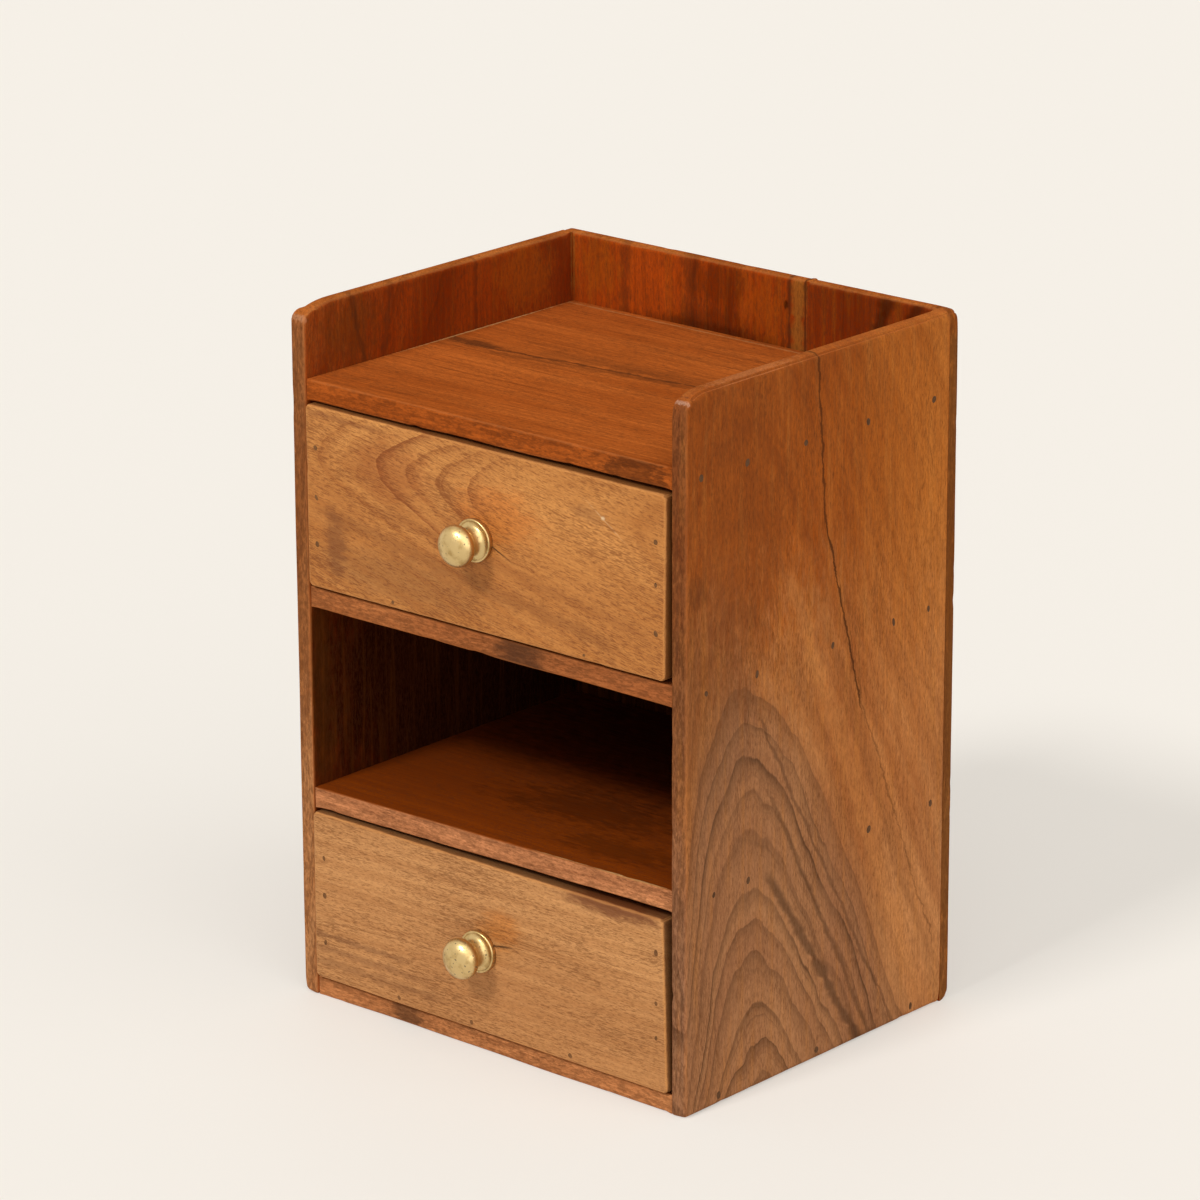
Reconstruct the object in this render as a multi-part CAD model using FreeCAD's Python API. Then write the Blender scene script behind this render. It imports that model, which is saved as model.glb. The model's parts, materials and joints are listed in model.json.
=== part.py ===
import FreeCAD, Part
import math
import os

# A small nailed hardwood desk organizer: two drawers, an open cubby between them and a tray on top
# with a gallery on three sides.  Millimetres, +Z up, front towards -Y.
# The origin is on the desk, under the middle of the cabinet's footprint.

Vector = FreeCAD.Vector

# Cabinet
width = 211.5
carcass_depth = 164.5
side_thickness = 7.8
back_thickness = 6.0
base_thickness = 8.2
lower_bay_height = 77.0
lower_shelf_rise = 2.6
shelf_thickness = 9.0
cubby_height = 77.8
upper_bay_height = 79.6
top_board_thickness = 9.0
gallery_height = 30.4
board_setback = 0.8
back_joint_offset = 31.3

# Rounds worked on the cabinet's edges
left_corner_length = 20.0
left_corner_drop = 6.5
right_corner_length = 13.0
right_corner_drop = 7.5
foot_round = 2.6
edge_round = 1.3
board_edge_round = 1.1
back_corner_radius = 4.5
back_heel_round = 4.5
back_edge_round = 1.2

# Drawer boxes
drawer_proud = 1.5
front_thickness = 9.0
front_round = 1.3
front_corner_radius = 2.4
drawer_side_thickness = 7.0
drawer_back_thickness = 7.0
drawer_bottom_thickness = 6.0
drawer_side_clearance = 3.0
drawer_rear_clearance = 1.2
drawer_side_drop = 7.0
drawer_edge_round = 1.2
slide_clearance = 0.3

# Gaps round the hand-fitted drawer fronts
upper_gap_left = 1.0
upper_gap_right_low = 2.3
upper_gap_right_high = 1.2
upper_gap_top_left = 0.6
upper_gap_top_right = 1.9
upper_gap_bottom = 1.2
lower_gap_left = 0.5
lower_gap_right_low = 0.5
lower_gap_right_high = 3.1
lower_gap_top_left = 0.7
lower_gap_top_right = 3.3
lower_gap_bottom = 0.7

# Turned brass knobs
flange_radius = 9.0
flange_thickness = 2.3
flange_rim_width = 1.0
flange_bevel = 0.5
flange_step = 0.4
neck_radius = 4.8
cap_radius = 8.8
cap_half_length = 5.4
cap_middle_reach = 11.5
crown_turn_share = 0.6
upper_knob_offset = -2.9
upper_knob_drop = 0.0
lower_knob_offset = -3.4
lower_knob_drop = 2.0

# Knob screws and washers
screw_diameter = 4.0
screw_hole_clearance = 0.2
screw_grip = 7.0
screw_head_radius = 3.9
screw_head_height = 2.6
screw_head_bevel = 0.8
screw_slot_width = 1.0
screw_slot_depth = 1.2
washer_radius = 5.5
washer_thickness = 1.0

# Flat-sided brads, punched just below the surface
brad_width = 2.0
brad_gauge = 1.2
brad_length = 20.0
brad_sink = 0.4

# Brad places: shares of the length that a row follows
top_row_shares = (0.05, 0.22, 0.44, 0.68, 0.94)
upper_row_shares = (0.07, 0.26, 0.55, 0.79, 0.93)
lower_row_shares = (0.10, 0.23, 0.70, 0.95)
base_row_shares = (0.12, 0.50, 0.88)
back_edge_shares = (0.12, 0.44, 0.76, 0.94)
back_board_shares = (-0.6, 0.7)
upper_left_end_shares = (0.21, 0.52, 0.85)
upper_right_end_shares = (0.22, 0.53, 0.80)
upper_front_foot_shares = (-0.52, 0.57)
lower_left_end_shares = (0.18, 0.52, 0.79)
lower_right_end_shares = (0.28, 0.52, 0.87)
lower_front_foot_shares = (-0.52, -0.09, 0.48)
drawer_foot_shares = (0.3, 0.8)
drawer_back_shares = (0.35, 0.75)

# How far a cutting tool runs past the face that it opens
overrun = 1.0

# Levels and planes that the boards share
lower_shelf_level = base_thickness + lower_bay_height
cubby_floor = lower_shelf_level + shelf_thickness
upper_shelf_level = cubby_floor + cubby_height
upper_bay_floor = upper_shelf_level + shelf_thickness
top_board_level = upper_bay_floor + upper_bay_height
tray_floor = top_board_level + top_board_thickness
height = tray_floor + gallery_height
half_width = width / 2
half_bay = half_width - side_thickness
y_front = -(carcass_depth + back_thickness) / 2
y_rear = y_front + carcass_depth
y_back = y_rear + back_thickness
board_depth = carcass_depth - board_setback

LEFT = Vector(-1, 0, 0)
RIGHT = Vector(1, 0, 0)
FORWARD = Vector(0, -1, 0)
BACKWARD = Vector(0, 1, 0)
UP = Vector(0, 0, 1)

TOLERANCE = 1e-6


def box(low, high):
    """A square-edged board between two opposite corners."""
    size = high - low
    return Part.makeBox(size.x, size.y, size.z, low)


def prism(points, thrust):
    """A closed outline of straight edges, carried along a vector."""
    outline = Part.makePolygon(points + points[:1])
    return Part.Face(outline).extrude(thrust)


def edges_where(shape, test):
    """The edges of a shape whose two ends both meet a test."""
    return [edge for edge in shape.Edges if all(test(vertex.Point) for vertex in edge.Vertexes)]


def near(value, target):
    """Whether two lengths are the same."""
    return abs(value - target) < TOLERANCE


class Brads:
    """Brads driven into one joint or row: their solids, and the holes that they fill."""

    def __init__(self, places, heading, spread):
        """Places are points on the struck face.

        Heading is the way in, and spread runs along a brad's width.
        """
        self.heading = heading
        self.wide = spread * (brad_width / 2)
        self.thin = heading.cross(spread) * (brad_gauge / 2)
        self.solids = [self.bar(place, brad_sink) for place in places]
        self.holes = [self.bar(place, -overrun) for place in places]

    def bar(self, place, start):
        """A bar of the brad's section from a depth below the struck face down to the brad's tip."""
        centre = place + self.heading * start
        corners = [
            centre + self.wide + self.thin,
            centre + self.wide - self.thin,
            centre - self.wide - self.thin,
            centre - self.wide + self.thin,
        ]
        return prism(corners, self.heading * (brad_length - start))


def pierced(shape, rows):
    """A shape cut by the holes of several rows of brads."""
    return shape.cut([hole for row in rows for hole in row.holes])


def group(rows):
    """The brads of several rows as one group of separate solids."""
    return Part.makeCompound([brad for row in rows for brad in row.solids])


def side_panel(facing, corner_length, corner_drop):
    """A full-height side: a hand-worked oval top front corner, eased arrises and a rounded foot.

    Facing is the outward direction, LEFT or RIGHT.  The corner's oval has its length along the top and
    its drop down the front.
    """
    low_front = Vector(0, y_front, 0)
    low_rear = Vector(0, y_rear, 0)
    high_rear = Vector(0, y_rear, height)
    high_front = Vector(0, y_front + corner_length, height)
    corner_foot = Vector(0, y_front, height - corner_drop)
    corner_centre = Vector(0, y_front + corner_length, height - corner_drop)
    oval = Part.Ellipse(corner_foot, high_front, corner_centre)
    outline = Part.Wire([
        Part.LineSegment(low_front, low_rear).toShape(),
        Part.LineSegment(low_rear, high_rear).toShape(),
        Part.LineSegment(high_rear, high_front).toShape(),
        Part.ArcOfEllipse(oval, 0, math.pi / 2).toShape(),
        Part.LineSegment(corner_foot, low_front).toShape(),
    ])
    panel = Part.Face(outline).extrude(facing * side_thickness)
    panel.translate(facing * half_bay)
    outer = facing.x * half_width
    foot = edges_where(panel, lambda point: near(point.x, outer) and near(point.z, 0))
    panel = panel.makeFillet(foot_round, foot)
    front = edges_where(panel, lambda point: near(point.y, y_front))
    uprights = [edge for edge in front if edge.Length > side_thickness + TOLERANCE]
    return panel.makeFillet(edge_round, uprights)


def cross_board(level, thickness, rise, rows):
    """A board between the sides, its front arrises eased and its brad holes cut.

    Rise is how much higher its right end stands than its left.
    """
    front = y_front + board_setback
    left_low = Vector(-half_bay, front, level - rise / 2)
    right_low = Vector(half_bay, front, level + rise / 2)
    lift = UP * thickness
    board = prism([left_low, right_low, right_low + lift, left_low + lift], BACKWARD * board_depth)
    front_edges = edges_where(board, lambda point: near(point.y, front))
    long_front = [edge for edge in front_edges if edge.Length > thickness + TOLERANCE]
    return pierced(board.makeFillet(board_edge_round, long_front), rows)


def back_board(x_joint, facing, rows):
    """One of the two upright back boards, from the joint to the outer face.

    The top outer corner and the heel are rounded, and the rear arrises eased.
    """
    outer = facing.x * half_width
    board = box(
        Vector(min(x_joint, outer), y_rear, 0),
        Vector(max(x_joint, outer), y_back, height),
    )
    corner = edges_where(board, lambda point: near(point.x, outer) and near(point.z, height))
    board = board.makeFillet(back_corner_radius, corner)
    heel = edges_where(board, lambda point: near(point.y, y_back) and near(point.z, 0))
    board = board.makeFillet(back_heel_round, heel)
    top = edges_where(board, lambda point: near(point.y, y_back) and near(point.z, height))
    return pierced(board.makeFillet(back_edge_round, top), rows)


def row_along_depth(x, z, shares):
    """Points along a board's depth, at the given shares of it from its front edge."""
    return [Vector(x, y_front + board_setback + board_depth * share, z) for share in shares]


def row_across_back(middle, lift):
    """Points across the back, along a board whose right end stands a lift above its middle."""
    return [Vector(half_bay * share, y_back, middle + lift * share) for share in back_board_shares]


def carcass():
    """The cabinet's boards and brads, by node name."""
    boards = (
        ("base_board", 0, base_thickness, 0, base_row_shares),
        ("lower_shelf", lower_shelf_level, shelf_thickness, lower_shelf_rise, lower_row_shares),
        ("upper_shelf", upper_shelf_level, shelf_thickness, 0, upper_row_shares),
        ("top_board", top_board_level, top_board_thickness, 0, top_row_shares),
    )
    middles = [(level + thickness / 2, rise / 2, shares) for name, level, thickness, rise, shares in boards]
    left_rows = [
        Brads(row_along_depth(-half_width, middle - lift, shares), RIGHT, UP)
        for middle, lift, shares in middles
    ]
    right_rows = [
        Brads(row_along_depth(half_width, middle + lift, shares), LEFT, UP)
        for middle, lift, shares in middles
    ]
    edge_middle = half_width - side_thickness / 2
    back_rows = {
        side: Brads([Vector(x, y_back, height * share) for share in back_edge_shares], FORWARD, UP)
        for side, x in (("left", -edge_middle), ("right", edge_middle))
    }
    shelf_rows = [
        Brads(row_across_back(middle, lift), FORWARD, RIGHT)
        for middle, lift, shares in middles
    ]
    left_side = side_panel(LEFT, left_corner_length, left_corner_drop)
    right_side = side_panel(RIGHT, right_corner_length, right_corner_drop)
    pieces = {
        "left_side_panel": pierced(left_side, left_rows + [back_rows["left"]]),
        "right_side_panel": pierced(right_side, right_rows + [back_rows["right"]]),
        "back_board_left": back_board(back_joint_offset, LEFT, shelf_rows + [back_rows["left"]]),
        "back_board_right": back_board(back_joint_offset, RIGHT, shelf_rows + [back_rows["right"]]),
        "left_side_brads": group(left_rows),
        "right_side_brads": group(right_rows),
        "back_brads": group(shelf_rows + list(back_rows.values())),
    }
    for (name, level, thickness, rise, shares), *rows in zip(boards, left_rows, right_rows, shelf_rows):
        pieces[name] = cross_board(level, thickness, rise, rows)
    return pieces


def knob(centre):
    """A turned mushroom knob, worked as one profile spun about its axis.

    A stepped flange with a bevelled rim, a trumpet-shaped neck and an oval cap, with a blind socket for the
    screw.  The cap is an ellipse in section that runs into a dome on the axis, tangent to it.
    Centre is the middle of the flange's seat on the drawer front.
    """
    socket_radius = screw_diameter / 2
    rim_inner = flange_radius - flange_rim_width
    hollow_foot = flange_thickness - flange_step

    def at(radius, reach):
        return centre + RIGHT * radius + FORWARD * reach

    def line(start, end):
        return Part.LineSegment(start, end).toShape()

    cap_centre = at(0, cap_middle_reach)
    cap_oval = Part.Ellipse(
        cap_centre + RIGHT * cap_radius, cap_centre + FORWARD * cap_half_length, cap_centre
    )
    neck_turn = -math.acos(neck_radius / cap_radius)
    neck_top = at(neck_radius, cap_middle_reach + cap_half_length * math.sin(neck_turn))
    crown_turn = crown_turn_share * math.pi / 2
    oval_ratio = cap_radius / cap_half_length
    dome_edge = cap_radius * math.cos(crown_turn)
    dome_radius = math.hypot(dome_edge, cap_radius * oval_ratio * math.sin(crown_turn))
    dome_reach = cap_middle_reach + (cap_half_length - cap_radius * oval_ratio) * math.sin(crown_turn)
    dome_half_turn = math.asin(dome_edge / dome_radius) / 2
    dome_middle = at(
        dome_radius * math.sin(dome_half_turn), dome_reach + dome_radius * math.cos(dome_half_turn)
    )
    dome_start = at(dome_edge, cap_middle_reach + cap_half_length * math.sin(crown_turn))
    crown = at(0, dome_reach + dome_radius)
    bevel_start = at(flange_radius, flange_thickness - flange_bevel)
    bevel_end = at(flange_radius - flange_bevel, flange_thickness)
    hollow_end = at(rim_inner, hollow_foot)
    hollow = Part.BezierCurve()
    hollow.setPoles([hollow_end, at(neck_radius, hollow_foot), neck_top])
    outline = Part.Wire([
        line(at(socket_radius, 0), at(flange_radius, 0)),
        line(at(flange_radius, 0), bevel_start),
        line(bevel_start, bevel_end),
        line(bevel_end, at(rim_inner, flange_thickness)),
        line(at(rim_inner, flange_thickness), hollow_end),
        hollow.toShape(),
        Part.ArcOfEllipse(cap_oval, neck_turn, crown_turn).toShape(),
        Part.Arc(dome_start, dome_middle, crown).toShape(),
        line(crown, at(0, screw_grip)),
        line(at(0, screw_grip), at(socket_radius, screw_grip)),
        line(at(socket_radius, screw_grip), at(socket_radius, 0)),
    ])
    turned = Part.Face(outline).revolve(centre, FORWARD, 360)
    return Part.makeSolid(turned.Shells[0])


def knob_screw(seat):
    """A slotted pan-head screw from inside the drawer into the knob; seat is under its head."""
    head = Part.makeCylinder(screw_head_radius, screw_head_height, seat, BACKWARD)
    crown_level = seat.y + screw_head_height
    rims = [edge for edge in head.Edges if len(edge.Vertexes) == 1]
    crown = [edge for edge in rims if near(edge.CenterOfMass.y, crown_level)]
    head = head.makeChamfer(screw_head_bevel, crown)
    slot_reach = screw_head_radius + overrun
    slot = box(
        Vector(seat.x - slot_reach, crown_level - screw_slot_depth, seat.z - screw_slot_width / 2),
        Vector(seat.x + slot_reach, crown_level + overrun, seat.z + screw_slot_width / 2),
    )
    shank_length = washer_thickness + front_thickness + screw_grip
    shank = Part.makeCylinder(screw_diameter / 2, shank_length, seat, FORWARD)
    return head.cut(slot).fuse(shank).removeSplitter()


def knob_washer(seat):
    """The flat washer between the screw's head and the drawer front; seat is on the wood."""
    disc = Part.makeCylinder(washer_radius, washer_thickness, seat, BACKWARD)
    bore_radius = screw_diameter / 2 + screw_hole_clearance
    bore_length = washer_thickness + overrun + overrun
    return disc.cut(Part.makeCylinder(bore_radius, bore_length, seat - BACKWARD * overrun, BACKWARD))


class Drawer:
    """A nailed drawer box behind a hand-fitted front, in the bay that it slides in."""

    def __init__(self, name, floor, bay_height, ceiling_rise, gaps, knob_offset, knob_drop, brad_shares):
        """Gaps are left, right low, right high, top left, top right and bottom, round the front.

        Ceiling rise is how much higher the bay's right end is than its left.  The knob stands off the
        bay's middle by its offset to the right and its drop.  Brad shares place the front's rows: up its
        left end, up its right end and along its foot.
        """
        self.name = name
        left, right_low, right_high, top_left, top_right, bottom = gaps
        ceiling = floor + bay_height
        left_top = ceiling - ceiling_rise / 2 - top_left
        right_top = ceiling + ceiling_rise / 2 - top_right
        self.corners = (
            (-half_bay + left, floor + bottom),
            (half_bay - right_low, floor + bottom),
            (half_bay - right_high, right_top),
            (-half_bay + left, left_top),
        )
        self.low = floor + slide_clearance
        self.seat = self.low + drawer_bottom_thickness
        self.rim = min(left_top, right_top) - drawer_side_drop
        self.face = y_front - drawer_proud
        self.inner_face = self.face + front_thickness
        self.rear = y_rear - drawer_rear_clearance
        self.half_box = half_bay - drawer_side_clearance
        self.length = self.rear - self.inner_face
        middle = floor + bay_height / 2 - knob_drop
        self.knob_seat = Vector(knob_offset, self.face, middle)
        self.brad_shares = brad_shares

    def brad_rows(self):
        """The brads of the box: through the front, through the sides and up through the bottom."""
        end = self.half_box - drawer_side_thickness / 2
        side_height = self.rim - self.seat
        foot = self.low + drawer_bottom_thickness / 2
        left_shares, right_shares, foot_shares = self.brad_shares
        front = [Vector(-end, self.face, self.seat + side_height * share) for share in left_shares]
        front += [Vector(end, self.face, self.seat + side_height * share) for share in right_shares]
        front += [Vector(self.half_box * share, self.face, foot) for share in foot_shares]
        back_middle = self.rear - drawer_back_thickness / 2
        levels = [self.seat + side_height * share for share in drawer_back_shares]
        left = [Vector(-self.half_box, back_middle, z) for z in levels]
        right = [Vector(self.half_box, back_middle, z) for z in levels]
        runs = [self.inner_face + self.length * share for share in drawer_foot_shares]
        under = [Vector(x, y, self.low) for x in (-end, end) for y in runs]
        return (
            Brads(front, BACKWARD, UP),
            Brads(left, RIGHT, UP),
            Brads(right, LEFT, UP),
            Brads(under, UP, BACKWARD),
        )

    def front(self, rows):
        """The front: an uneven four-sided board, rounded all round, bored for the knob's screw."""
        outline = [Vector(x, self.face, z) for x, z in self.corners]
        board = prism(outline, BACKWARD * front_thickness)
        corner_edges = [edge for edge in board.Edges if near(edge.Length, front_thickness)]
        board = board.makeFillet(front_corner_radius, corner_edges)
        face_edges = edges_where(board, lambda point: near(point.y, self.face))
        board = board.makeFillet(front_round, face_edges)
        bore_radius = screw_diameter / 2 + screw_hole_clearance
        bore_length = front_thickness + overrun + overrun
        bore = Part.makeCylinder(bore_radius, bore_length, self.knob_seat + FORWARD * overrun, BACKWARD)
        return pierced(board.cut(bore), rows)

    def side(self, facing, rows):
        """A side, standing on the bottom board, with its top arrises eased."""
        outer = facing.x * self.half_box
        inner = outer - facing.x * drawer_side_thickness
        board = box(
            Vector(min(outer, inner), self.inner_face, self.seat),
            Vector(max(outer, inner), self.rear, self.rim),
        )
        return pierced(self.ease_rim(board), rows)

    def back(self, rows):
        """The back, standing between the sides."""
        reach = self.half_box - drawer_side_thickness
        board = box(
            Vector(-reach, self.rear - drawer_back_thickness, self.seat),
            Vector(reach, self.rear, self.rim),
        )
        return pierced(self.ease_rim(board), rows)

    def ease_rim(self, board):
        """A wall of the box with its two long top arrises rounded."""
        top = edges_where(board, lambda point: near(point.z, self.rim))
        longest = max(edge.Length for edge in top)
        return board.makeFillet(drawer_edge_round, [edge for edge in top if near(edge.Length, longest)])

    def bottom(self, rows):
        """The bottom board, under the sides and the back, which runs on the board below."""
        board = box(
            Vector(-self.half_box, self.inner_face, self.low),
            Vector(self.half_box, self.rear, self.seat),
        )
        return pierced(board, rows)

    def pieces(self):
        """The drawer's pieces, by node name."""
        front, left, right, under = self.brad_rows()
        washer_seat = self.knob_seat + BACKWARD * front_thickness
        head_seat = washer_seat + BACKWARD * washer_thickness
        parts = {
            "front": self.front([front]),
            "left_side": self.side(LEFT, [front, left, under]),
            "right_side": self.side(RIGHT, [front, right, under]),
            "back": self.back([left, right]),
            "bottom": self.bottom([front, under]),
            "knob": knob(self.knob_seat),
            "knob_screw": knob_screw(head_seat),
            "knob_washer": knob_washer(washer_seat),
            "front_brads": group([front]),
            "back_brads": group([left, right]),
            "bottom_brads": group([under]),
        }
        return {f"{self.name}_{part}": shape for part, shape in parts.items()}


UPPER_GAPS = (
    upper_gap_left,
    upper_gap_right_low,
    upper_gap_right_high,
    upper_gap_top_left,
    upper_gap_top_right,
    upper_gap_bottom,
)
LOWER_GAPS = (
    lower_gap_left,
    lower_gap_right_low,
    lower_gap_right_high,
    lower_gap_top_left,
    lower_gap_top_right,
    lower_gap_bottom,
)

upper_drawer = Drawer(
    "upper_drawer",
    upper_bay_floor,
    upper_bay_height,
    0,
    UPPER_GAPS,
    upper_knob_offset,
    upper_knob_drop,
    (upper_left_end_shares, upper_right_end_shares, upper_front_foot_shares),
)
lower_drawer = Drawer(
    "lower_drawer",
    base_thickness,
    lower_bay_height,
    lower_shelf_rise,
    LOWER_GAPS,
    lower_knob_offset,
    lower_knob_drop,
    (lower_left_end_shares, lower_right_end_shares, lower_front_foot_shares),
)
nodes = {**carcass(), **upper_drawer.pieces(), **lower_drawer.pieces()}

os.makedirs("parts", exist_ok=True)
for node, solid in nodes.items():
    solid.exportStep(f"parts/{node}.step")
    state = "valid" if solid.isValid() else "INVALID"
    print(node, len(solid.Solids), "solid(s)", round(solid.Volume), "mm3", state)
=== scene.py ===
"""Looks of a small nailed hardwood desk organizer: worn boards, filled brad marks and turned brass knobs.

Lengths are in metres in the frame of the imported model, +Z up and the front towards -Y.  Inside the wood
materials they are in millimetres, because grain is easier to think of at that size.
"""

import functools
import json
import logging
import math
from collections.abc import Callable
from dataclasses import astuple, dataclass, field, fields, replace
from enum import Enum

import bpy
import numpy as np
from mathutils import Matrix, Vector

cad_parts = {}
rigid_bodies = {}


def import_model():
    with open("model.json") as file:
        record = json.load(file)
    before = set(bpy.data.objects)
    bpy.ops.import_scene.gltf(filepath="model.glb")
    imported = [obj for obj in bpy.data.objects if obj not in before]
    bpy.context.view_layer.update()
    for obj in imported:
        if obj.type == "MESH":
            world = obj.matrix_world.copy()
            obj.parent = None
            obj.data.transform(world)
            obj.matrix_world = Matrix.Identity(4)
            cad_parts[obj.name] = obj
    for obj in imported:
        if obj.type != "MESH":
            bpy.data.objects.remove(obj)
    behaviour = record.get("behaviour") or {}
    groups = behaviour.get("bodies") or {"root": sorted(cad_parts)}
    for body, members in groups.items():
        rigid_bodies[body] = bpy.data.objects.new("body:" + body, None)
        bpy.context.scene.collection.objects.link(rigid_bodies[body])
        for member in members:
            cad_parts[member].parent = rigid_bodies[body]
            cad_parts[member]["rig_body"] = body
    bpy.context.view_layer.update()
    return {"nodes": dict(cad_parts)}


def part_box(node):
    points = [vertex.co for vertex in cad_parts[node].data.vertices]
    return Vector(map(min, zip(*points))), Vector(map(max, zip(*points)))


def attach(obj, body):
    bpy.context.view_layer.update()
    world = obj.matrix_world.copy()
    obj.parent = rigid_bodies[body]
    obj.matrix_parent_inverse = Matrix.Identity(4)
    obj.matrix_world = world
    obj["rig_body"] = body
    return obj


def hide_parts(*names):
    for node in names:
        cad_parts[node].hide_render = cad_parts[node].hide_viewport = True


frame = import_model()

LOG = logging.getLogger("organizer")
MILLIMETRES = 1000.0

Array = np.ndarray
Colour = tuple[float, float, float, float]
Socket = bpy.types.NodeSocket
Value = float | tuple[float, ...] | Socket


def srgb(red: int, green: int, blue: int) -> Colour:
    """Turns a screen colour into the linear colour that a shader takes.

    Args:
        red: From 0 to 255, as the others.
        green: The green part.
        blue: The blue part.

    Returns:
        The colour, fully opaque.
    """
    screen = np.array([red, green, blue]) / 255
    linear = np.where(screen <= 0.04045, screen / 12.92, ((screen + 0.055) / 1.055) ** 2.4)
    return (*linear.tolist(), 1.0)


class Body(Enum):
    """The bodies that the pieces ride on."""

    CARCASS = "carcass"
    UPPER_DRAWER = "upper_drawer"
    LOWER_DRAWER = "lower_drawer"


class Slot(Enum):
    """The material slots of the record."""

    CARCASS_WOOD = "carcass_wood"
    FRONT_WOOD = "front_wood"
    DRAWER_BOX_WOOD = "drawer_box_wood"
    BRASS = "brass"
    STEEL = "steel"


class Lay(Enum):
    """How a board lies: the axes along its grain, across its face and through its thickness."""

    UPRIGHT_SIDE = (2, 1, 0)
    UPRIGHT_BACK = (2, 0, 1)
    FLAT = (0, 1, 2)
    ON_EDGE_ACROSS = (0, 2, 1)
    ON_EDGE_ALONG = (1, 2, 0)


# Surfaces


def corners_of(node: str) -> tuple[Array, Array]:
    """Gives a node's lowest and highest corner as arrays."""
    low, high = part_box(node)
    return np.array(low), np.array(high)


def node_points(node: str) -> Array:
    """Reads the corner points of a node's own mesh.

    Args:
        node: The node.

    Returns:
        The points, one row each.
    """
    mesh = frame["nodes"][node].data
    flat = np.zeros(len(mesh.vertices) * 3)
    mesh.vertices.foreach_get("co", flat)
    return flat.reshape(-1, 3)


def fade(distance: Array, reach: float) -> Array:
    """Rises smoothly from 0 at no distance to 1 at the reach, by t * t * (3 - 2 t)."""
    share = np.clip(distance / reach, 0, 1)
    return share * share * (3 - 2 * share)


def wander(points: Array, reach: float, seed: int) -> Array:
    """Gives a smooth uneven field, mostly between -1 and 1.

    It is the sum of nine sine waves sin(k . p + phase) that run in random directions, each with a length
    near the reach.

    Args:
        points: Places, one row each.
        reach: About how far apart the bumps are.
        seed: Picks the directions and phases.

    Returns:
        One value for each point.
    """
    waves = 9
    draw = np.random.default_rng(seed)
    headings = draw.normal(size=(waves, 3))
    lengths = draw.uniform(0.6, 1.6, (waves, 1)) * reach
    turns = headings / np.linalg.norm(headings, axis=1, keepdims=True) * (2 * np.pi / lengths)
    phases = draw.uniform(0, 2 * np.pi, waves)
    return np.sin(points @ turns.T + phases).sum(axis=1) * 0.5


def edge_ticks(low: float, high: float, round_radius: float, pitch: float) -> Array:
    """Places grid lines from low to high: crowded over the rounds at both ends, a pitch apart between.

    Args:
        low: First place.
        high: Last place.
        round_radius: Size of the rounds at the ends.
        pitch: Spacing in the middle.

    Returns:
        The places, in order.
    """
    crowded_at = np.array([0, 0.08, 0.2, 0.36, 0.55, 0.78, 1.0, 1.4, 2.0, 2.8, 3.8, 5.0])
    most_of_width = 0.42
    crowd = crowded_at * round_radius
    crowd = crowd[crowd < most_of_width * (high - low)]
    gap = high - low - 2 * crowd[-1]
    middle = np.linspace(low + crowd[-1], high - crowd[-1], max(2, math.ceil(gap / pitch) + 1))
    return np.concatenate([low + crowd[:-1], middle, high - crowd[-2::-1]])


def box_shell(ticks: list[Array]) -> tuple[Array, Array]:
    """Makes the outside of a box from its grid lines: the lattice points on its faces, joined by quads.

    Args:
        ticks: Grid lines along X, Y and Z.

    Returns:
        The points, one row each, and the quads, with their fronts outwards.
    """
    counts = [len(line) for line in ticks]
    on_shell = np.ones(counts, bool)
    on_shell[1:-1, 1:-1, 1:-1] = False
    index = np.full(counts, -1)
    index[on_shell] = np.arange(on_shell.sum())
    points = np.stack(np.meshgrid(*ticks, indexing="ij"), axis=-1)[on_shell]
    quads = []
    for axis in range(3):
        for end, turned in ((0, axis == 1), (-1, axis != 1)):
            sheet = np.take(index, end, axis=axis)
            ring = [sheet[:-1, :-1], sheet[:-1, 1:], sheet[1:, 1:], sheet[1:, :-1]]
            quads.append(np.stack(ring[::-1] if turned else ring, axis=-1).reshape(-1, 4))
    return points, np.concatenate(quads)


def spun_faces(rings: int, around: int, start: int = 0) -> list[list[int]]:
    """Joins a pole, rings of points and a second pole into one closed skin.

    Args:
        rings: How many rings lie between the poles.
        around: Points in a ring.
        start: Number of the first pole.

    Returns:
        Triangles at the poles and quads between the rings, for points in the order pole, rings, pole.
    """
    ring = start + 1 + np.arange(rings * around).reshape(rings, around)
    after = np.roll(ring, -1, axis=1)
    last = start + 1 + rings * around
    first_cap = np.stack([np.full(around, start), after[0], ring[0]], axis=-1)
    last_cap = np.stack([np.full(around, last), ring[-1], after[-1]], axis=-1)
    walls = np.stack([ring[:-1], after[:-1], after[1:], ring[1:]], axis=-1).reshape(-1, 4)
    return first_cap.tolist() + walls.tolist() + last_cap.tolist()


def new_piece(name: str, points: Array, faces: list, body: Body, slot: Slot, nodes: list[str],
              **layers: Array) -> bpy.types.Object:
    """Puts points and faces into a smooth mesh piece that stands for CAD nodes.

    Args:
        name: The piece's name.
        points: Corner points, one row each.
        faces: Corner numbers of each face.
        body: What it rides on.
        slot: The material slot of its finish; not used.
        nodes: The CAD nodes that it stands for.
        layers: Values at the points that the finish reads by name.

    Returns:
        The piece.
    """
    mesh = bpy.data.meshes.new(name)
    mesh.from_pydata(points.tolist(), [], faces)
    mesh.polygons.foreach_set("use_smooth", [True] * len(mesh.polygons))
    for key, values in layers.items():
        layer = mesh.attributes.new(key, "FLOAT", "POINT")
        layer.data.foreach_set("value", values.astype(np.float32))
    mesh.update()
    piece = bpy.data.objects.new(name, mesh)
    bpy.context.scene.collection.objects.link(piece)
    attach(piece, body.value)
    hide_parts(*nodes)
    LOG.info("%s: %d faces on %s", name, len(mesh.polygons), body.value)
    return piece


# Node trees


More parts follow.
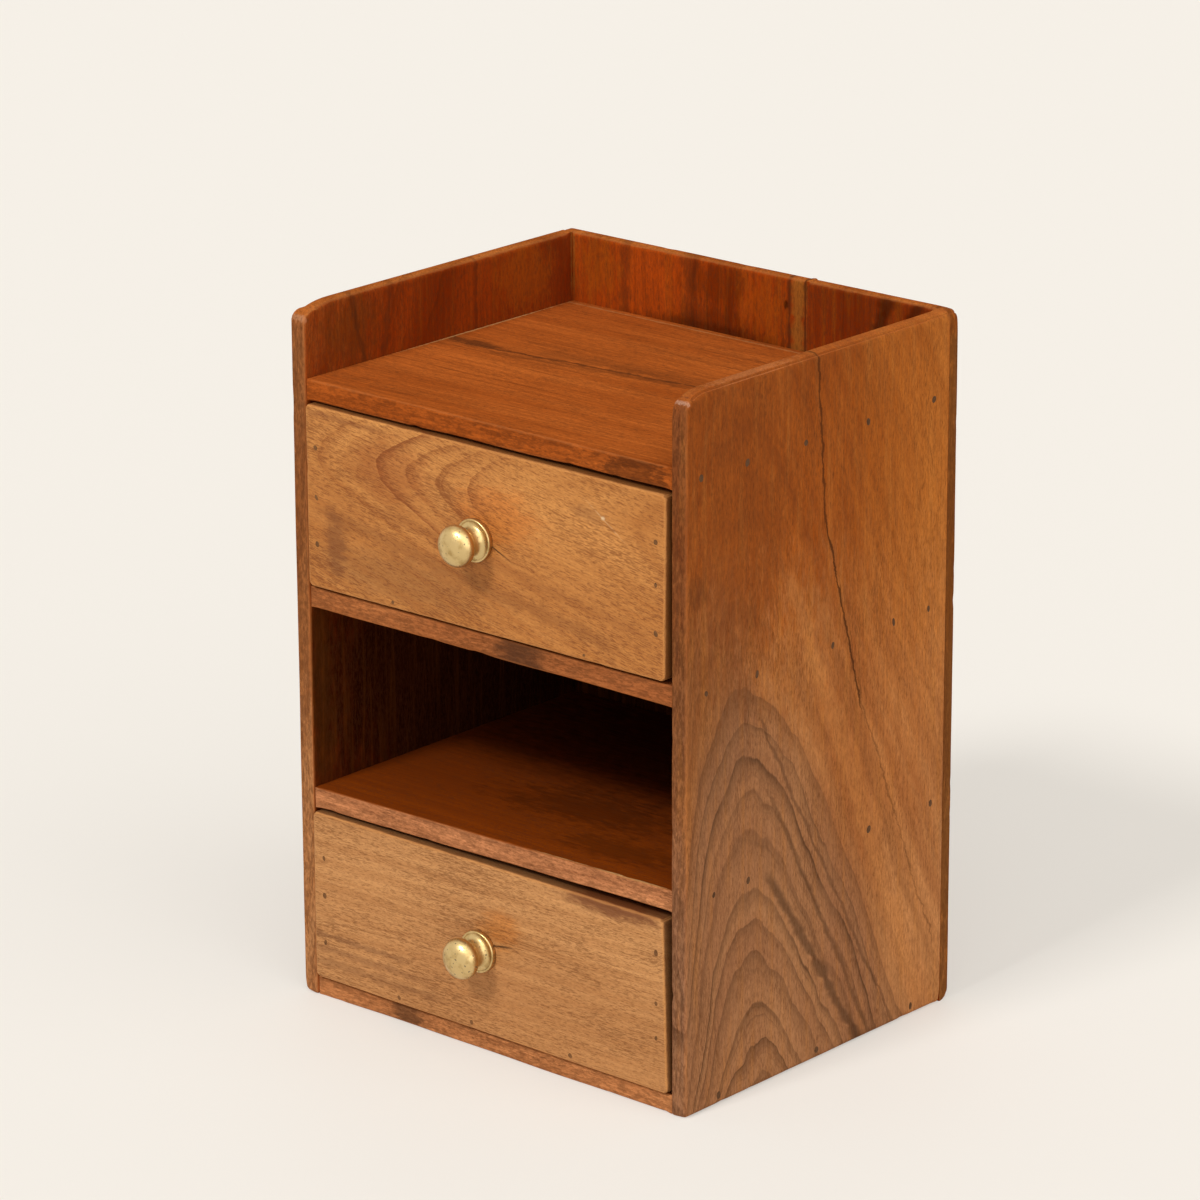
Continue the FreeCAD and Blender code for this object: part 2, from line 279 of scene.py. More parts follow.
class Nodes:
    """A node tree being wired: each call adds a node and gives back its output."""

    def __init__(self, tree: bpy.types.NodeTree) -> None:
        """Starts with a tree and empties it."""
        self.tree = tree
        tree.nodes.clear()

    def feed(self, inlet: Socket, value: Value) -> None:
        """Links a socket to an inlet, or sets the inlet to a constant.

        Args:
            inlet: The inlet.
            value: The socket or the constant.
        """
        if isinstance(value, bpy.types.NodeSocket):
            self.tree.links.new(value, inlet)
        else:
            inlet.default_value = value

    def fill(self, node: bpy.types.Node, values: dict[str, Value]) -> None:
        """Feeds some of a node's inlets by name."""
        for name, value in values.items():
            self.feed(node.inputs[name], value)

    def add(self, kind: str, *values: Value, **settings: object) -> bpy.types.Node:
        """Adds a node and feeds its first inlets.

        Args:
            kind: The node's type.
            values: What the inlets get, in their order.
            settings: The node's other settings.

        Returns:
            The node.
        """
        node = self.tree.nodes.new(kind)
        for name, value in settings.items():
            setattr(node, name, value)
        for inlet, value in zip(node.inputs, values):
            self.feed(inlet, value)
        return node

    def math(self, operation: str, *values: Value) -> Socket:
        """Works out one number from others."""
        return self.add("ShaderNodeMath", *values, operation=operation).outputs[0]

    def times(self, first: Value, second: Value) -> Socket:
        """Multiplies two numbers."""
        return self.math("MULTIPLY", first, second)

    def times_plus(self, first: Value, second: Value, third: Value) -> Socket:
        """Multiplies two numbers and adds a third."""
        return self.math("MULTIPLY_ADD", first, second, third)

    def plus(self, first: Value, second: Value) -> Socket:
        """Adds two numbers."""
        return self.math("ADD", first, second)

    def minus(self, first: Value, second: Value) -> Socket:
        """Takes the second number from the first."""
        return self.math("SUBTRACT", first, second)

    def vector(self, operation: str, *values: Value) -> Socket:
        """Works out one vector from others, or one number for a length or a dot product."""
        node = self.add("ShaderNodeVectorMath", *values, operation=operation)
        return node.outputs["Value" if operation in ("LENGTH", "DOT_PRODUCT") else "Vector"]

    def split(self, vector: Value) -> list[Socket]:
        """Takes a vector apart."""
        return list(self.add("ShaderNodeSeparateXYZ", vector).outputs)

    def join(self, *values: Value) -> Socket:
        """Puts three numbers together."""
        return self.add("ShaderNodeCombineXYZ", *values).outputs[0]

    def step(self, value: Value, low: Value, high: Value, start: Value = 0.0, end: Value = 1.0) -> Socket:
        """Rises smoothly from start to end as a value goes from low to high."""
        rise = self.add("ShaderNodeMapRange", value, low, high, start, end, interpolation_type="SMOOTHSTEP")
        return rise.outputs[0]

    def noise(self, place: Socket, stretch: tuple[float, float, float], seed: Value, detail: float = 2.0,
              roughness: float = 0.5, output: str = "Fac") -> Socket:
        """Reads cloudy noise at a place.

        Args:
            place: A vector.
            stretch: Clouds per unit along each axis.
            seed: Moves the reading elsewhere.
            detail: Octaves.
            roughness: Weight of the finer octaves.
            output: Fac for a number about 0.5, Color for three.

        Returns:
            The noise.
        """
        spot = self.vector("MULTIPLY_ADD", place, stretch, self.join(seed, seed, seed))
        node = self.add("ShaderNodeTexNoise")
        self.fill(node, {"Vector": spot, "Scale": 1.0, "Detail": detail, "Roughness": roughness})
        return node.outputs[output]

    def mix(self, share: Value, below: Value, above: Value, blend: str = "MIX") -> Socket:
        """Lays one colour over another.

        Args:
            share: How much of the upper colour shows.
            below: The lower colour.
            above: The upper colour.
            blend: How the two meet.

        Returns:
            The colour.
        """
        node = self.add("ShaderNodeMix", share, data_type="RGBA", blend_type=blend)
        lower, upper, outcome = node.inputs[6], node.inputs[7], node.outputs[2]
        self.feed(lower, below)
        self.feed(upper, above)
        return outcome

    def coat(self, below: Value, mask: Value, share: float, tone: Colour) -> Socket:
        """Lays a share of a tone over a colour where a mask shows it."""
        return self.mix(self.times(mask, share), below, tone)

    def emboss(self, shader: bpy.types.Node, height: Socket, strength: float, distance: float) -> None:
        """Raises a shader's surface.

        Args:
            shader: The shader.
            height: How high each place is.
            strength: Share of the height that shows.
            distance: What a height of 1 stands for, in metres.
        """
        bump = self.add("ShaderNodeBump")
        self.fill(bump, {"Strength": strength, "Distance": distance, "Height": height})
        self.feed(shader.inputs["Normal"], bump.outputs[0])


def new_material(name: str) -> tuple[bpy.types.Material, Nodes, bpy.types.Node]:
    """Starts a material.

    Args:
        name: The material's name.

    Returns:
        The material, its tree and its shader.
    """
    material = bpy.data.materials.new(name)
    material.use_nodes = True
    nodes = Nodes(material.node_tree)
    shader = nodes.add("ShaderNodeBsdfPrincipled")
    nodes.add("ShaderNodeOutputMaterial", shader.outputs[0])
    return material, nodes, shader


@dataclass(frozen=True)
class Effect:
    """A surface effect that several materials share: a node group, built once and placed with own values."""

    name: str
    inlets: tuple[str, ...]
    outlets: tuple[str, ...]
    wire: Callable[[Nodes, dict[str, Socket]], list[Socket]]

    @functools.cache
    def group(self) -> bpy.types.NodeTree:
        """Builds the node group, once.

        Returns:
            The group.
        """
        tree = bpy.data.node_groups.new(self.name, "ShaderNodeTree")
        tree.interface.new_socket(name="Grain", in_out="INPUT", socket_type="NodeSocketVector")
        for name in self.inlets:
            tree.interface.new_socket(name=name, in_out="INPUT", socket_type="NodeSocketFloat")
        for name in self.outlets:
            tree.interface.new_socket(name=name, in_out="OUTPUT", socket_type="NodeSocketFloat")
        nodes = Nodes(tree)
        entry = nodes.add("NodeGroupInput")
        inlets = {name: entry.outputs[name] for name in ("Grain", *self.inlets)}
        nodes.add("NodeGroupOutput", *self.wire(nodes, inlets))
        return tree

    def place(self, nodes: Nodes, grain: Socket, *values: Value) -> list[Socket]:
        """Places the group in a material.

        Args:
            nodes: The material's tree.
            grain: The point on the board, in millimetres along, across and through the grain.
            values: The inlets' values, in their order.

        Returns:
            The group's outputs.
        """
        return list(nodes.add("ShaderNodeGroup", grain, *values, node_tree=self.group()).outputs)


def wire_growth_rings(nodes: Nodes, inlet: dict[str, Socket]) -> list[Socket]:
    """Wires the rings of a log: the distance from a leaning pith, plus a taper along it, cut by a pitch.

    On one side of the pith the rings are drawn closer, the more the further out, by 1 + skew d^2.  Each ring
    darkens into a line of its own strength, with finer lines between.  The lines come and go in patches,
    end at the core and are weaker beyond the reach.

    Args:
        nodes: The group's tree.
        inlet: Its inputs by name.

    Returns:
        The dark lines, the broad bands of tone that follow the rings, and the zone inside the reach.
    """
    grain, seed = inlet["Grain"], inlet["Seed"]
    sway_per_wobble, unevenness, fine_per_ring = 4.0, 1.6, 4.3
    along, across, through = nodes.split(grain)
    sway = nodes.noise(grain, (0.012, 0.03, 0.03), seed, detail=2.0, output="Color")
    sway = nodes.vector("SUBTRACT", sway, (0.5, 0.5, 0.5))
    sway_across, sway_through, _ = nodes.split(sway)
    reach_of_sway = nodes.times(inlet["Wobble"], sway_per_wobble)
    pith = nodes.times_plus(along, inlet["Lean"], inlet["Pith across"])
    off_across = nodes.times_plus(sway_across, reach_of_sway, nodes.minus(across, pith))
    crowding = nodes.times_plus(nodes.times(off_across, off_across), inlet["Skew"], 1.0)
    off_across = nodes.math("MINIMUM", off_across, nodes.times(off_across, crowding))
    depth = nodes.minus(through, inlet["Pith through"])
    off_through = nodes.times_plus(sway_through, reach_of_sway, depth)
    square = nodes.times_plus(off_across, off_across, nodes.times(off_through, off_through))
    radius = nodes.times_plus(along, inlet["Taper"], nodes.math("SQRT", square))
    ripple = nodes.noise(grain, (0.05, 0.16, 0.16), seed, detail=3.0)
    ripple = nodes.times(nodes.minus(ripple, 0.5), inlet["Ripple"])
    turn = nodes.math("DIVIDE", nodes.plus(radius, ripple), inlet["Pitch"])
    turn = nodes.plus(turn, inlet["Offset"])
    uneven = nodes.noise(nodes.join(turn, seed, 0.0), (0.6, 1.0, 1.0), seed, detail=1.0)
    turn = nodes.times_plus(nodes.minus(uneven, 0.5), unevenness, turn)
    coarse = nodes.times(ring_lines(nodes, turn, seed, 0.7), inlet["Crisp"])
    fine = ring_lines(nodes, nodes.times(turn, fine_per_ring), seed, 0.4)
    shade = ring_lines(nodes, turn, nodes.plus(seed, 7.0), 0.0)
    line = nodes.math("MAXIMUM", coarse, nodes.times(fine, nodes.times_plus(shade, 0.6, 0.2)))
    patches = nodes.noise(grain, (0.02, 0.06, 0.06), seed, detail=2.0)
    line = nodes.times(line, nodes.step(patches, 0.35, 0.65, 0.15, 1.0))
    line = nodes.times_plus(shade, inlet["Shade"], line)
    outer = inlet["Outer"]
    line = nodes.times(line, nodes.step(along, inlet["Full to"], inlet["Faint from"], 1.0, outer))
    edge = nodes.plus(inlet["Reach"], inlet["Edge"])
    kept = nodes.step(radius, inlet["Reach"], edge, 1.0, 0.0)
    line = nodes.times(line, nodes.step(radius, inlet["Reach"], edge, 1.0, outer))
    heart = nodes.plus(inlet["Core"], inlet["Pitch"])
    line = nodes.times(line, nodes.step(radius, inlet["Core"], heart))
    zones = nodes.join(nodes.times(turn, 0.7), seed, 0.0)
    zone = nodes.noise(zones, (1.0, 1.0, 1.0), seed, detail=3.0)
    cloud = nodes.noise(grain, (0.006, 0.018, 0.018), seed, detail=2.0)
    band = nodes.step(nodes.times(nodes.plus(zone, cloud), 0.5), 0.34, 0.66)
    return [line, band, kept]


def ring_lines(nodes: Nodes, turn: Socket, seed: Socket, start: float) -> Socket:
    """Wires one thin line at the end of each turn: a slow rise, a quick fall, and a strength of its own.

    Args:
        nodes: The group's tree.
        turn: How many rings out from the pith.
        seed: Picks the strengths.
        start: Where in a turn its line begins.

    Returns:
        The mask of the lines.
    """
    peak_at, least_strength = 0.95, 0.3
    part = nodes.math("FRACT", turn)
    chance = nodes.add("ShaderNodeTexWhiteNoise", noise_dimensions="1D")
    nodes.feed(chance.inputs["W"], nodes.plus(nodes.math("FLOOR", turn), seed))
    strength = nodes.times_plus(chance.outputs["Value"], 1 - least_strength, least_strength)
    rise = nodes.step(part, start, peak_at)
    peak = nodes.times(nodes.times(rise, rise), nodes.step(part, peak_at, 1.0, 1.0, 0.0))
    return nodes.times(peak, strength)


def wire_wood_fibre(nodes: Nodes, inlet: dict[str, Socket]) -> list[Socket]:
    """Wires fine wood from stretched noise: streaks, pores as short dashes, mottle and gleams.

    Args:
        nodes: The group's tree.
        inlet: Its inputs by name.

    Returns:
        The streaks, from 0 dark to 1 pale, the pores, 1 where one is open, the mottle and the golden gleams.
    """
    grain, seed = inlet["Grain"], inlet["Seed"]
    streak = nodes.step(nodes.noise(grain, (0.035, 0.8, 0.8), seed, detail=4.0, roughness=0.7), 0.25, 0.75)
    dash = nodes.noise(grain, (0.33, 2.8, 2.8), seed, detail=2.0, roughness=0.6)
    crowd = nodes.noise(grain, (0.02, 0.09, 0.09), seed, detail=2.0)
    limit = nodes.times_plus(crowd, -0.3, inlet["Sparse"])
    pore = nodes.step(dash, limit, nodes.plus(limit, 0.12))
    mottle = nodes.step(nodes.noise(grain, (0.45, 1.2, 1.2), seed, detail=3.0, roughness=0.7), 0.38, 0.68)
    gleam = nodes.step(nodes.noise(grain, (0.016, 0.26, 0.26), seed, detail=4.0, roughness=0.65), 0.46, 0.72)
    return [streak, pore, mottle, gleam]


def wire_edge_wear(nodes: Nodes, inlet: dict[str, Socket]) -> list[Socket]:
    """Wires rubbed edges: the piece's wear, broken up by noise.

    Args:
        nodes: The group's tree.
        inlet: Its inputs by name.

    Returns:
        The mask of bare wood.
    """
    rag = nodes.noise(inlet["Grain"], (0.09, 0.3, 0.3), inlet["Seed"], detail=4.0, roughness=0.65)
    ragged = nodes.times_plus(nodes.minus(rag, 0.5), 1.6, inlet["Wear"])
    return [nodes.step(ragged, 0.3, 0.85)]


def wire_drift_line(nodes: Nodes, inlet: dict[str, Socket]) -> list[Socket]:
    """Wires one line along the grain that drifts by a slope and strays by noise, with soft ends.

    Args:
        nodes: The group's tree.
        inlet: Its inputs by name.

    Returns:
        The mask of the line.
    """
    grain, seed = inlet["Grain"], inlet["Seed"]
    soft_end = 12.0
    along, across, _ = nodes.split(grain)
    stray = nodes.noise(nodes.join(along, seed, 0.0), (0.05, 1.0, 1.0), seed, detail=5.0, roughness=0.66)
    swell = nodes.noise(nodes.join(along, seed, 3.0), (0.14, 1.0, 1.0), seed, detail=2.0)
    width = nodes.times(inlet["Width"], nodes.step(swell, 0.3, 0.7, 0.5, 1.5))
    middle = nodes.times_plus(along, inlet["Slope"], inlet["Across"])
    middle = nodes.times_plus(nodes.minus(stray, 0.5), inlet["Stray"], middle)
    off = nodes.math("ABSOLUTE", nodes.minus(across, middle))
    line = nodes.step(off, nodes.times(width, 0.2), width, 1.0, 0.0)
    opened = nodes.step(along, inlet["From"], nodes.plus(inlet["From"], soft_end))
    closed = nodes.step(along, nodes.minus(inlet["To"], soft_end), inlet["To"], 1.0, 0.0)
    line = nodes.times(line, nodes.times(opened, closed))
    return [nodes.times(line, inlet["Shown"])]


def wire_soft_spot(nodes: Nodes, inlet: dict[str, Socket]) -> list[Socket]:
    """Wires one ragged oval spot: the distance from its middle in shares of its size, roughened by noise.

    Args:
        nodes: The group's tree.
        inlet: Its inputs by name.

    Returns:
        The mask of the spot.
    """
    along, across, _ = nodes.split(inlet["Grain"])
    off_along = nodes.math("DIVIDE", nodes.minus(along, inlet["Along"]), inlet["Length"])
    off_across = nodes.math("DIVIDE", nodes.minus(across, inlet["Across"]), inlet["Breadth"])
    length = nodes.vector("LENGTH", nodes.join(off_along, off_across, 0.0))
    grit = nodes.vector("MULTIPLY", inlet["Grain"], nodes.join(inlet["Grit"], inlet["Grit"], inlet["Grit"]))
    rag = nodes.noise(grit, (0.12, 0.4, 0.4), inlet["Seed"], detail=4.0, roughness=0.65)
    ragged = nodes.times_plus(nodes.minus(rag, 0.5), inlet["Ragged"], length)
    return [nodes.times(nodes.step(ragged, 0.35, 1.0, 1.0, 0.0), inlet["Shown"])]


# Finishes


@dataclass(frozen=True)
class Figure:
    """The growth pattern that a board was sawn through, in millimetres from the board's middle."""

    pith_across: float
    pith_through: float
    lean: float = 0.0
    skew: float = 0.0
    taper: float = 0.0
    pitch: float = 3.0
    offset: float = 0.0
    crisp: float = 1.0
    shade: float = 0.22
    wobble: float = 1.5
    ripple: float = 1.5
    core: float = -10000.0
    reach: float = 10000.0
    edge: float = 10.0
    outer: float = 0.1
    full_to: float = 10000.0
    faint_from: float = 20000.0
    seed: float = 1.0
    slope: float = 0.0

    @classmethod
    def inlets(cls) -> tuple[str, ...]:
        """The names of the growth rings' inlets: all fields but the slope of the fibre."""
        return tuple(entry.name.replace("_", " ").capitalize() for entry in fields(cls)[:-1])

    def values(self) -> tuple[float, ...]:
        """The values of those inlets."""
        return astuple(self)[:-1]


GROWTH_RINGS = Effect("growth rings", Figure.inlets(), ("Line", "Band", "Zone"), wire_growth_rings)
WOOD_FIBRE = Effect("wood fibre", ("Sparse", "Seed"), ("Streak", "Pore", "Mottle", "Gleam"), wire_wood_fibre)
EDGE_WEAR = Effect("edge wear", ("Wear", "Seed"), ("Mask",), wire_edge_wear)
LINE_INLETS = ("Across", "Slope", "Stray", "Width", "From", "To", "Seed", "Shown")
DRIFT_LINE = Effect("drift line", LINE_INLETS, ("Mask",), wire_drift_line)
SPOT_INLETS = ("Along", "Across", "Length", "Breadth", "Ragged", "Grit", "Seed", "Shown")
SOFT_SPOT = Effect("soft spot", SPOT_INLETS, ("Mask",), wire_soft_spot)


class Face(Enum):
    """Which faces of a board a mark shows on, by the way that they look along, across and through it."""

    ANY = (0.0, 0.0, 0.0)
    LOW = (0.0, 0.0, -1.0)
    HIGH = (0.0, 0.0, 1.0)
    FRONT = (0.0, -1.0, 0.0)
    RIM = (1.0, 1.0, 0.0)

    def shown(self, nodes: Nodes, facing: Socket) -> Value:
        """Finds the faces that a mark shows on.

        Args:
            nodes: The material's tree.
            facing: The way that the surface looks.

        Returns:
            1 on those faces and 0 elsewhere.
        """
        if self is Face.ANY:
            return 1.0
        if self is Face.RIM:
            return nodes.step(nodes.vector("LENGTH", nodes.vector("MULTIPLY", facing, self.value)), 0.7, 0.97)
        return nodes.step(nodes.vector("DOT_PRODUCT", facing, self.value), 0.5, 0.9)


ANY, LOW, HIGH, FRONT, RIM = Face


class Mark:
    """Something on a board that colours a part of it."""

    colour: Colour
    share: float

    def mask(self, nodes: Nodes, grain: Socket, facing: Socket) -> Socket:
        """Gives 1 where the mark is and 0 elsewhere."""
        raise NotImplementedError

    def over(self, nodes: Nodes, colour: Value, grain: Socket, facing: Socket) -> Socket:
        """Lays the mark over a colour."""
        return nodes.coat(colour, self.mask(nodes, grain, facing), self.share, self.colour)


@dataclass(frozen=True)
class Streak(Mark):
    """One line along the grain: a vein, a crack or a seam of glue."""

    across: float
    start: float
    end: float
    colour: Colour
    share: float = 0.8
    slope: float = 0.0
    stray: float = 6.0
    width: float = 1.0
    face: Face = ANY
    seed: float = 1.0

    def mask(self, nodes: Nodes, grain: Socket, facing: Socket) -> Socket:
        """Places the line in a material and gives its mask."""
        return DRIFT_LINE.place(nodes, grain, self.across, self.slope, self.stray, self.width,
                                self.start, self.end, self.seed, self.face.shown(nodes, facing))[0]


@dataclass(frozen=True)
class Spot(Mark):
    """One ragged oval spot: a stain, a rub or a smudge."""

    along: float
    across: float
    length: float
    breadth: float
    colour: Colour
    share: float = 0.6
    ragged: float = 1.2
    grit: float = 1.0
    face: Face = ANY
    seed: float = 1.0

    def mask(self, nodes: Nodes, grain: Socket, facing: Socket) -> Socket:
        """Places the spot in a material and gives its mask."""
        return SOFT_SPOT.place(nodes, grain, self.along, self.across, self.length, self.breadth,
                               self.ragged, self.grit, self.seed, self.face.shown(nodes, facing))[0]


@dataclass(frozen=True)
class WoodFinish:
    """Varnished wood: its tones, the strength of its grain and the gloss of its varnish."""

    pale: Colour
    deep: Colour
    line: Colour
    pore: Colour
    worn: Colour
    zone: Colour = srgb(116, 74, 44)
    zone_share: float = 0.0
    line_share: float = 0.4
    streak_share: float = 0.3
    pore_share: float = 0.45
    mottle_share: float = 0.16
    gleam: Colour = srgb(196, 124, 56)
    gleam_share: float = 0.0
    sparse: float = 0.7
    crowding: float = 0.0
    worn_share: float = 0.5
    roughness: float = 0.5
    worn_dullness: float = 0.2
    pore_dullness: float = 0.15
    streak_shine: float = 0.08
    gloss: float = 0.25
    varnish: float = 0.06
    varnish_roughness: float = 0.25
    pore_depth: float = 0.8
    streak_height: float = 0.6
    relief: float = 0.35
    relief_height: float = 0.0002

    def material(self, name: str, lay: Lay, middle: Array, figure: Figure, tints: tuple[Mark, ...],
                 marks: tuple[Mark, ...]) -> bpy.types.Material:
        """Makes the material of one board.

        Args:
            name: The material's name.
            lay: How the board lies.
            middle: The board's middle.
            figure: Its growth pattern.
            tints: Broad tones below the grain.
            marks: Veins, stains and the like over it.

        Returns:
            The material.
        """
        material, nodes, shader = new_material(name)
        grain, facing = self.grain(nodes, lay, middle)
        line, band, zone = GROWTH_RINGS.place(nodes, grain, *figure.values())
        along, across, through = nodes.split(grain)
        fibre = nodes.join(along, nodes.times_plus(along, figure.slope, across), through)
        sparse = nodes.times_plus(line, -self.crowding, self.sparse)
        streak, pore, mottle, gleam = WOOD_FIBRE.place(nodes, fibre, sparse, figure.seed)
        wear = nodes.add("ShaderNodeAttribute", attribute_name="wear").outputs["Fac"]
        bare = EDGE_WEAR.place(nodes, grain, wear, figure.seed)[0]
        colour = self.pale
        for tint in tints:
            colour = tint.over(nodes, colour, grain, facing)
        depth = (*(deep / pale for deep, pale in zip(self.deep[:3], self.pale[:3])), 1.0)
        colour = nodes.mix(nodes.minus(1.0, band), colour, depth, blend="MULTIPLY")
        colour = nodes.coat(colour, zone, self.zone_share, self.zone)
        colour = nodes.coat(colour, gleam, self.gleam_share, self.gleam)
        colour = nodes.coat(colour, nodes.minus(1.0, streak), self.streak_share, self.line)
        colour = nodes.coat(colour, line, self.line_share, self.line)
        for mark in marks:
            colour = mark.over(nodes, colour, grain, facing)
        colour = nodes.coat(colour, mottle, self.mottle_share, self.pore)
        colour = nodes.coat(colour, pore, self.pore_share, self.pore)
        colour = nodes.coat(colour, bare, self.worn_share, self.worn)
        dull = nodes.times_plus(bare, self.worn_dullness, nodes.times(pore, self.pore_dullness))
        shine = nodes.times_plus(streak, -self.streak_shine, self.roughness)
        nodes.fill(shader, {
            "Base Color": colour,
            "Roughness": nodes.plus(dull, shine),
            "Specular IOR Level": self.gloss,
            "Coat Weight": self.varnish,
            "Coat Roughness": self.varnish_roughness,
        })
        height = nodes.times_plus(pore, -self.pore_depth, nodes.times(streak, self.streak_height))
        nodes.emboss(shader, height, self.relief, self.relief_height)
        return material

    @staticmethod
    def grain(nodes: Nodes, lay: Lay, middle: Array) -> tuple[Socket, Socket]:
        """Finds where a point lies on a board.

        Args:
            nodes: The material's tree.
            lay: How the board lies.
            middle: The board's middle.

        Returns:
            The point in millimetres from the middle and the way that the surface looks, both along, across
            and through the grain.
        """
        place = nodes.add("ShaderNodeTexCoord")
        mapping = nodes.add("ShaderNodeMapping")
        nodes.fill(mapping, {
            "Vector": place.outputs["Object"],
            "Location": (-middle * MILLIMETRES).tolist(),
            "Scale": (MILLIMETRES,) * 3,
        })
        splits = (nodes.split(mapping.outputs[0]), nodes.split(place.outputs["Normal"]))
        point, way = (nodes.join(*(split[axis] for axis in lay.value)) for split in splits)
        return point, way


@dataclass(frozen=True)
class MetalFinish:
    """Old metal, or filler: satin, with dull clouds, dark specks and a fine tooth. The clouds are tarnish,
    and on the brass partly a painted reflection.
    """

    name: str
    bright: Colour
    dull: Colour
    speck: Colour
    roughness: float = 0.26
    metallic: float = 1.0
    gloss: float = 0.5
    cloud: float = 0.25
    cloud_share: float = 0.7
    cloud_dullness: float = 0.14
    specks: float = 0.7
    speck_share: float = 0.8
    speck_metallic: float = 0.4
    speck_depth: float = 2.0
    tooth: float = 2.2
    tooth_dullness: float = 0.12
    relief: float = 0.3
    relief_height: float = 0.0001

    @functools.cache
    def material(self) -> bpy.types.Material:
        """Makes the metal's material, once.

        Returns:
            The material.
        """
        material, nodes, shader = new_material(self.name)
        place = nodes.add("ShaderNodeTexCoord").outputs["Object"]
        point = nodes.vector("MULTIPLY", place, (MILLIMETRES,) * 3)
        clouds = nodes.step(nodes.noise(point, (self.cloud,) * 3, 3.0, detail=4.0, roughness=0.6), 0.42, 0.7)
        tooth = nodes.noise(point, (self.tooth,) * 3, 5.0, detail=3.0, roughness=0.7)
        specks = nodes.step(nodes.noise(point, (self.specks,) * 3, 9.0, detail=1.0), 0.68, 0.73)
        # Dull clouds: tarnish, and on the brass partly a painted reflection of a darker room.
        colour = nodes.coat(self.bright, clouds, self.cloud_share, self.dull)
        clean = nodes.step(specks, 0.0, 1.0, 1.0, self.speck_metallic)
        haze = nodes.times_plus(clouds, self.cloud_dullness, self.roughness)
        nodes.fill(shader, {
            "Base Color": nodes.coat(colour, specks, self.speck_share, self.speck),
            "Metallic": nodes.times(self.metallic, clean),
            "Roughness": nodes.times_plus(tooth, self.tooth_dullness, haze),
            "Specular IOR Level": self.gloss,
        })
        height = nodes.times_plus(specks, -self.speck_depth, tooth)
        nodes.emboss(shader, height, self.relief, self.relief_height)
        return material


BARE_EDGE = srgb(172, 102, 54)
DARK_VEIN = srgb(52, 30, 18)
OLIVE = srgb(150, 98, 38)
# Pale: glue lines and white chips, and painted glints along the tray's back joint.
GLUE_AND_GLINT = srgb(208, 162, 104)
CARCASS_WOOD = WoodFinish(
    pale=srgb(190, 117, 55),
    deep=srgb(153, 84, 35),
    line=srgb(72, 46, 28),
    pore=srgb(84, 46, 24),
    worn=BARE_EDGE,
    mottle_share=0.3,
    worn_share=0.3,
    gloss=0.0,
    varnish=0.0,
)
TRAY_WOOD = replace(
    CARCASS_WOOD, pale=srgb(202, 106, 42), deep=srgb(170, 82, 28), line=srgb(96, 42, 14), streak_share=0.45,
    roughness=0.42,
)
INNER_WOOD = replace(
    CARCASS_WOOD, line=srgb(62, 22, 4), gleam=srgb(160, 90, 22), gleam_share=0.4, mottle_share=0.4,
    line_share=0.3,
)
OLD_VARNISH = srgb(158, 54, 2)
# Near black: dark old varnish in some marks, and painted shade in the cubby, at the rear of the shelves and
# along the foot of the tray's back wall in others.
DARK_VARNISH_AND_SHADE = srgb(18, 5, 1)
FRONT_WOOD = WoodFinish(
    pale=srgb(212, 148, 80),
    deep=srgb(178, 114, 54),
    line=srgb(136, 72, 30),
    pore=srgb(108, 62, 28),
    worn=srgb(198, 136, 76),
    line_share=0.75,
    pore_share=0.6,
    mottle_share=0.28,
    sparse=0.66,
    worn_share=0.4,
    gloss=0.12,
    varnish=0.03,
)
LOWER_FRONT_WOOD = replace(
    FRONT_WOOD, pale=srgb(204, 148, 92), deep=srgb(178, 122, 71), line=srgb(140, 88, 46), line_share=0.45,
)
BOX_WOOD = replace(
    FRONT_WOOD, pale=srgb(206, 156, 96), deep=srgb(188, 134, 78), line=srgb(156, 102, 56),
    roughness=0.6, varnish=0.0,
)
# The brass's dull clouds are partly tarnish and partly a painted reflection, standing for the room mirrored
# in the knobs.
BRASS = MetalFinish("brass", bright=srgb(212, 183, 127), dull=srgb(166, 134, 78), speck=srgb(84, 70, 48))
STEEL = MetalFinish(
    "steel", bright=srgb(170, 168, 164), dull=srgb(120, 116, 110), speck=srgb(70, 62, 54), roughness=0.35,
)
FILLER = MetalFinish(
    "filler", bright=srgb(92, 62, 38), dull=srgb(68, 44, 26), speck=srgb(40, 28, 18),
    roughness=0.6, metallic=0.0, gloss=0.1,
)
FRONT_FILLER = replace(FILLER, name="front filler", bright=srgb(116, 78, 46), dull=srgb(88, 58, 34))


# Pieces


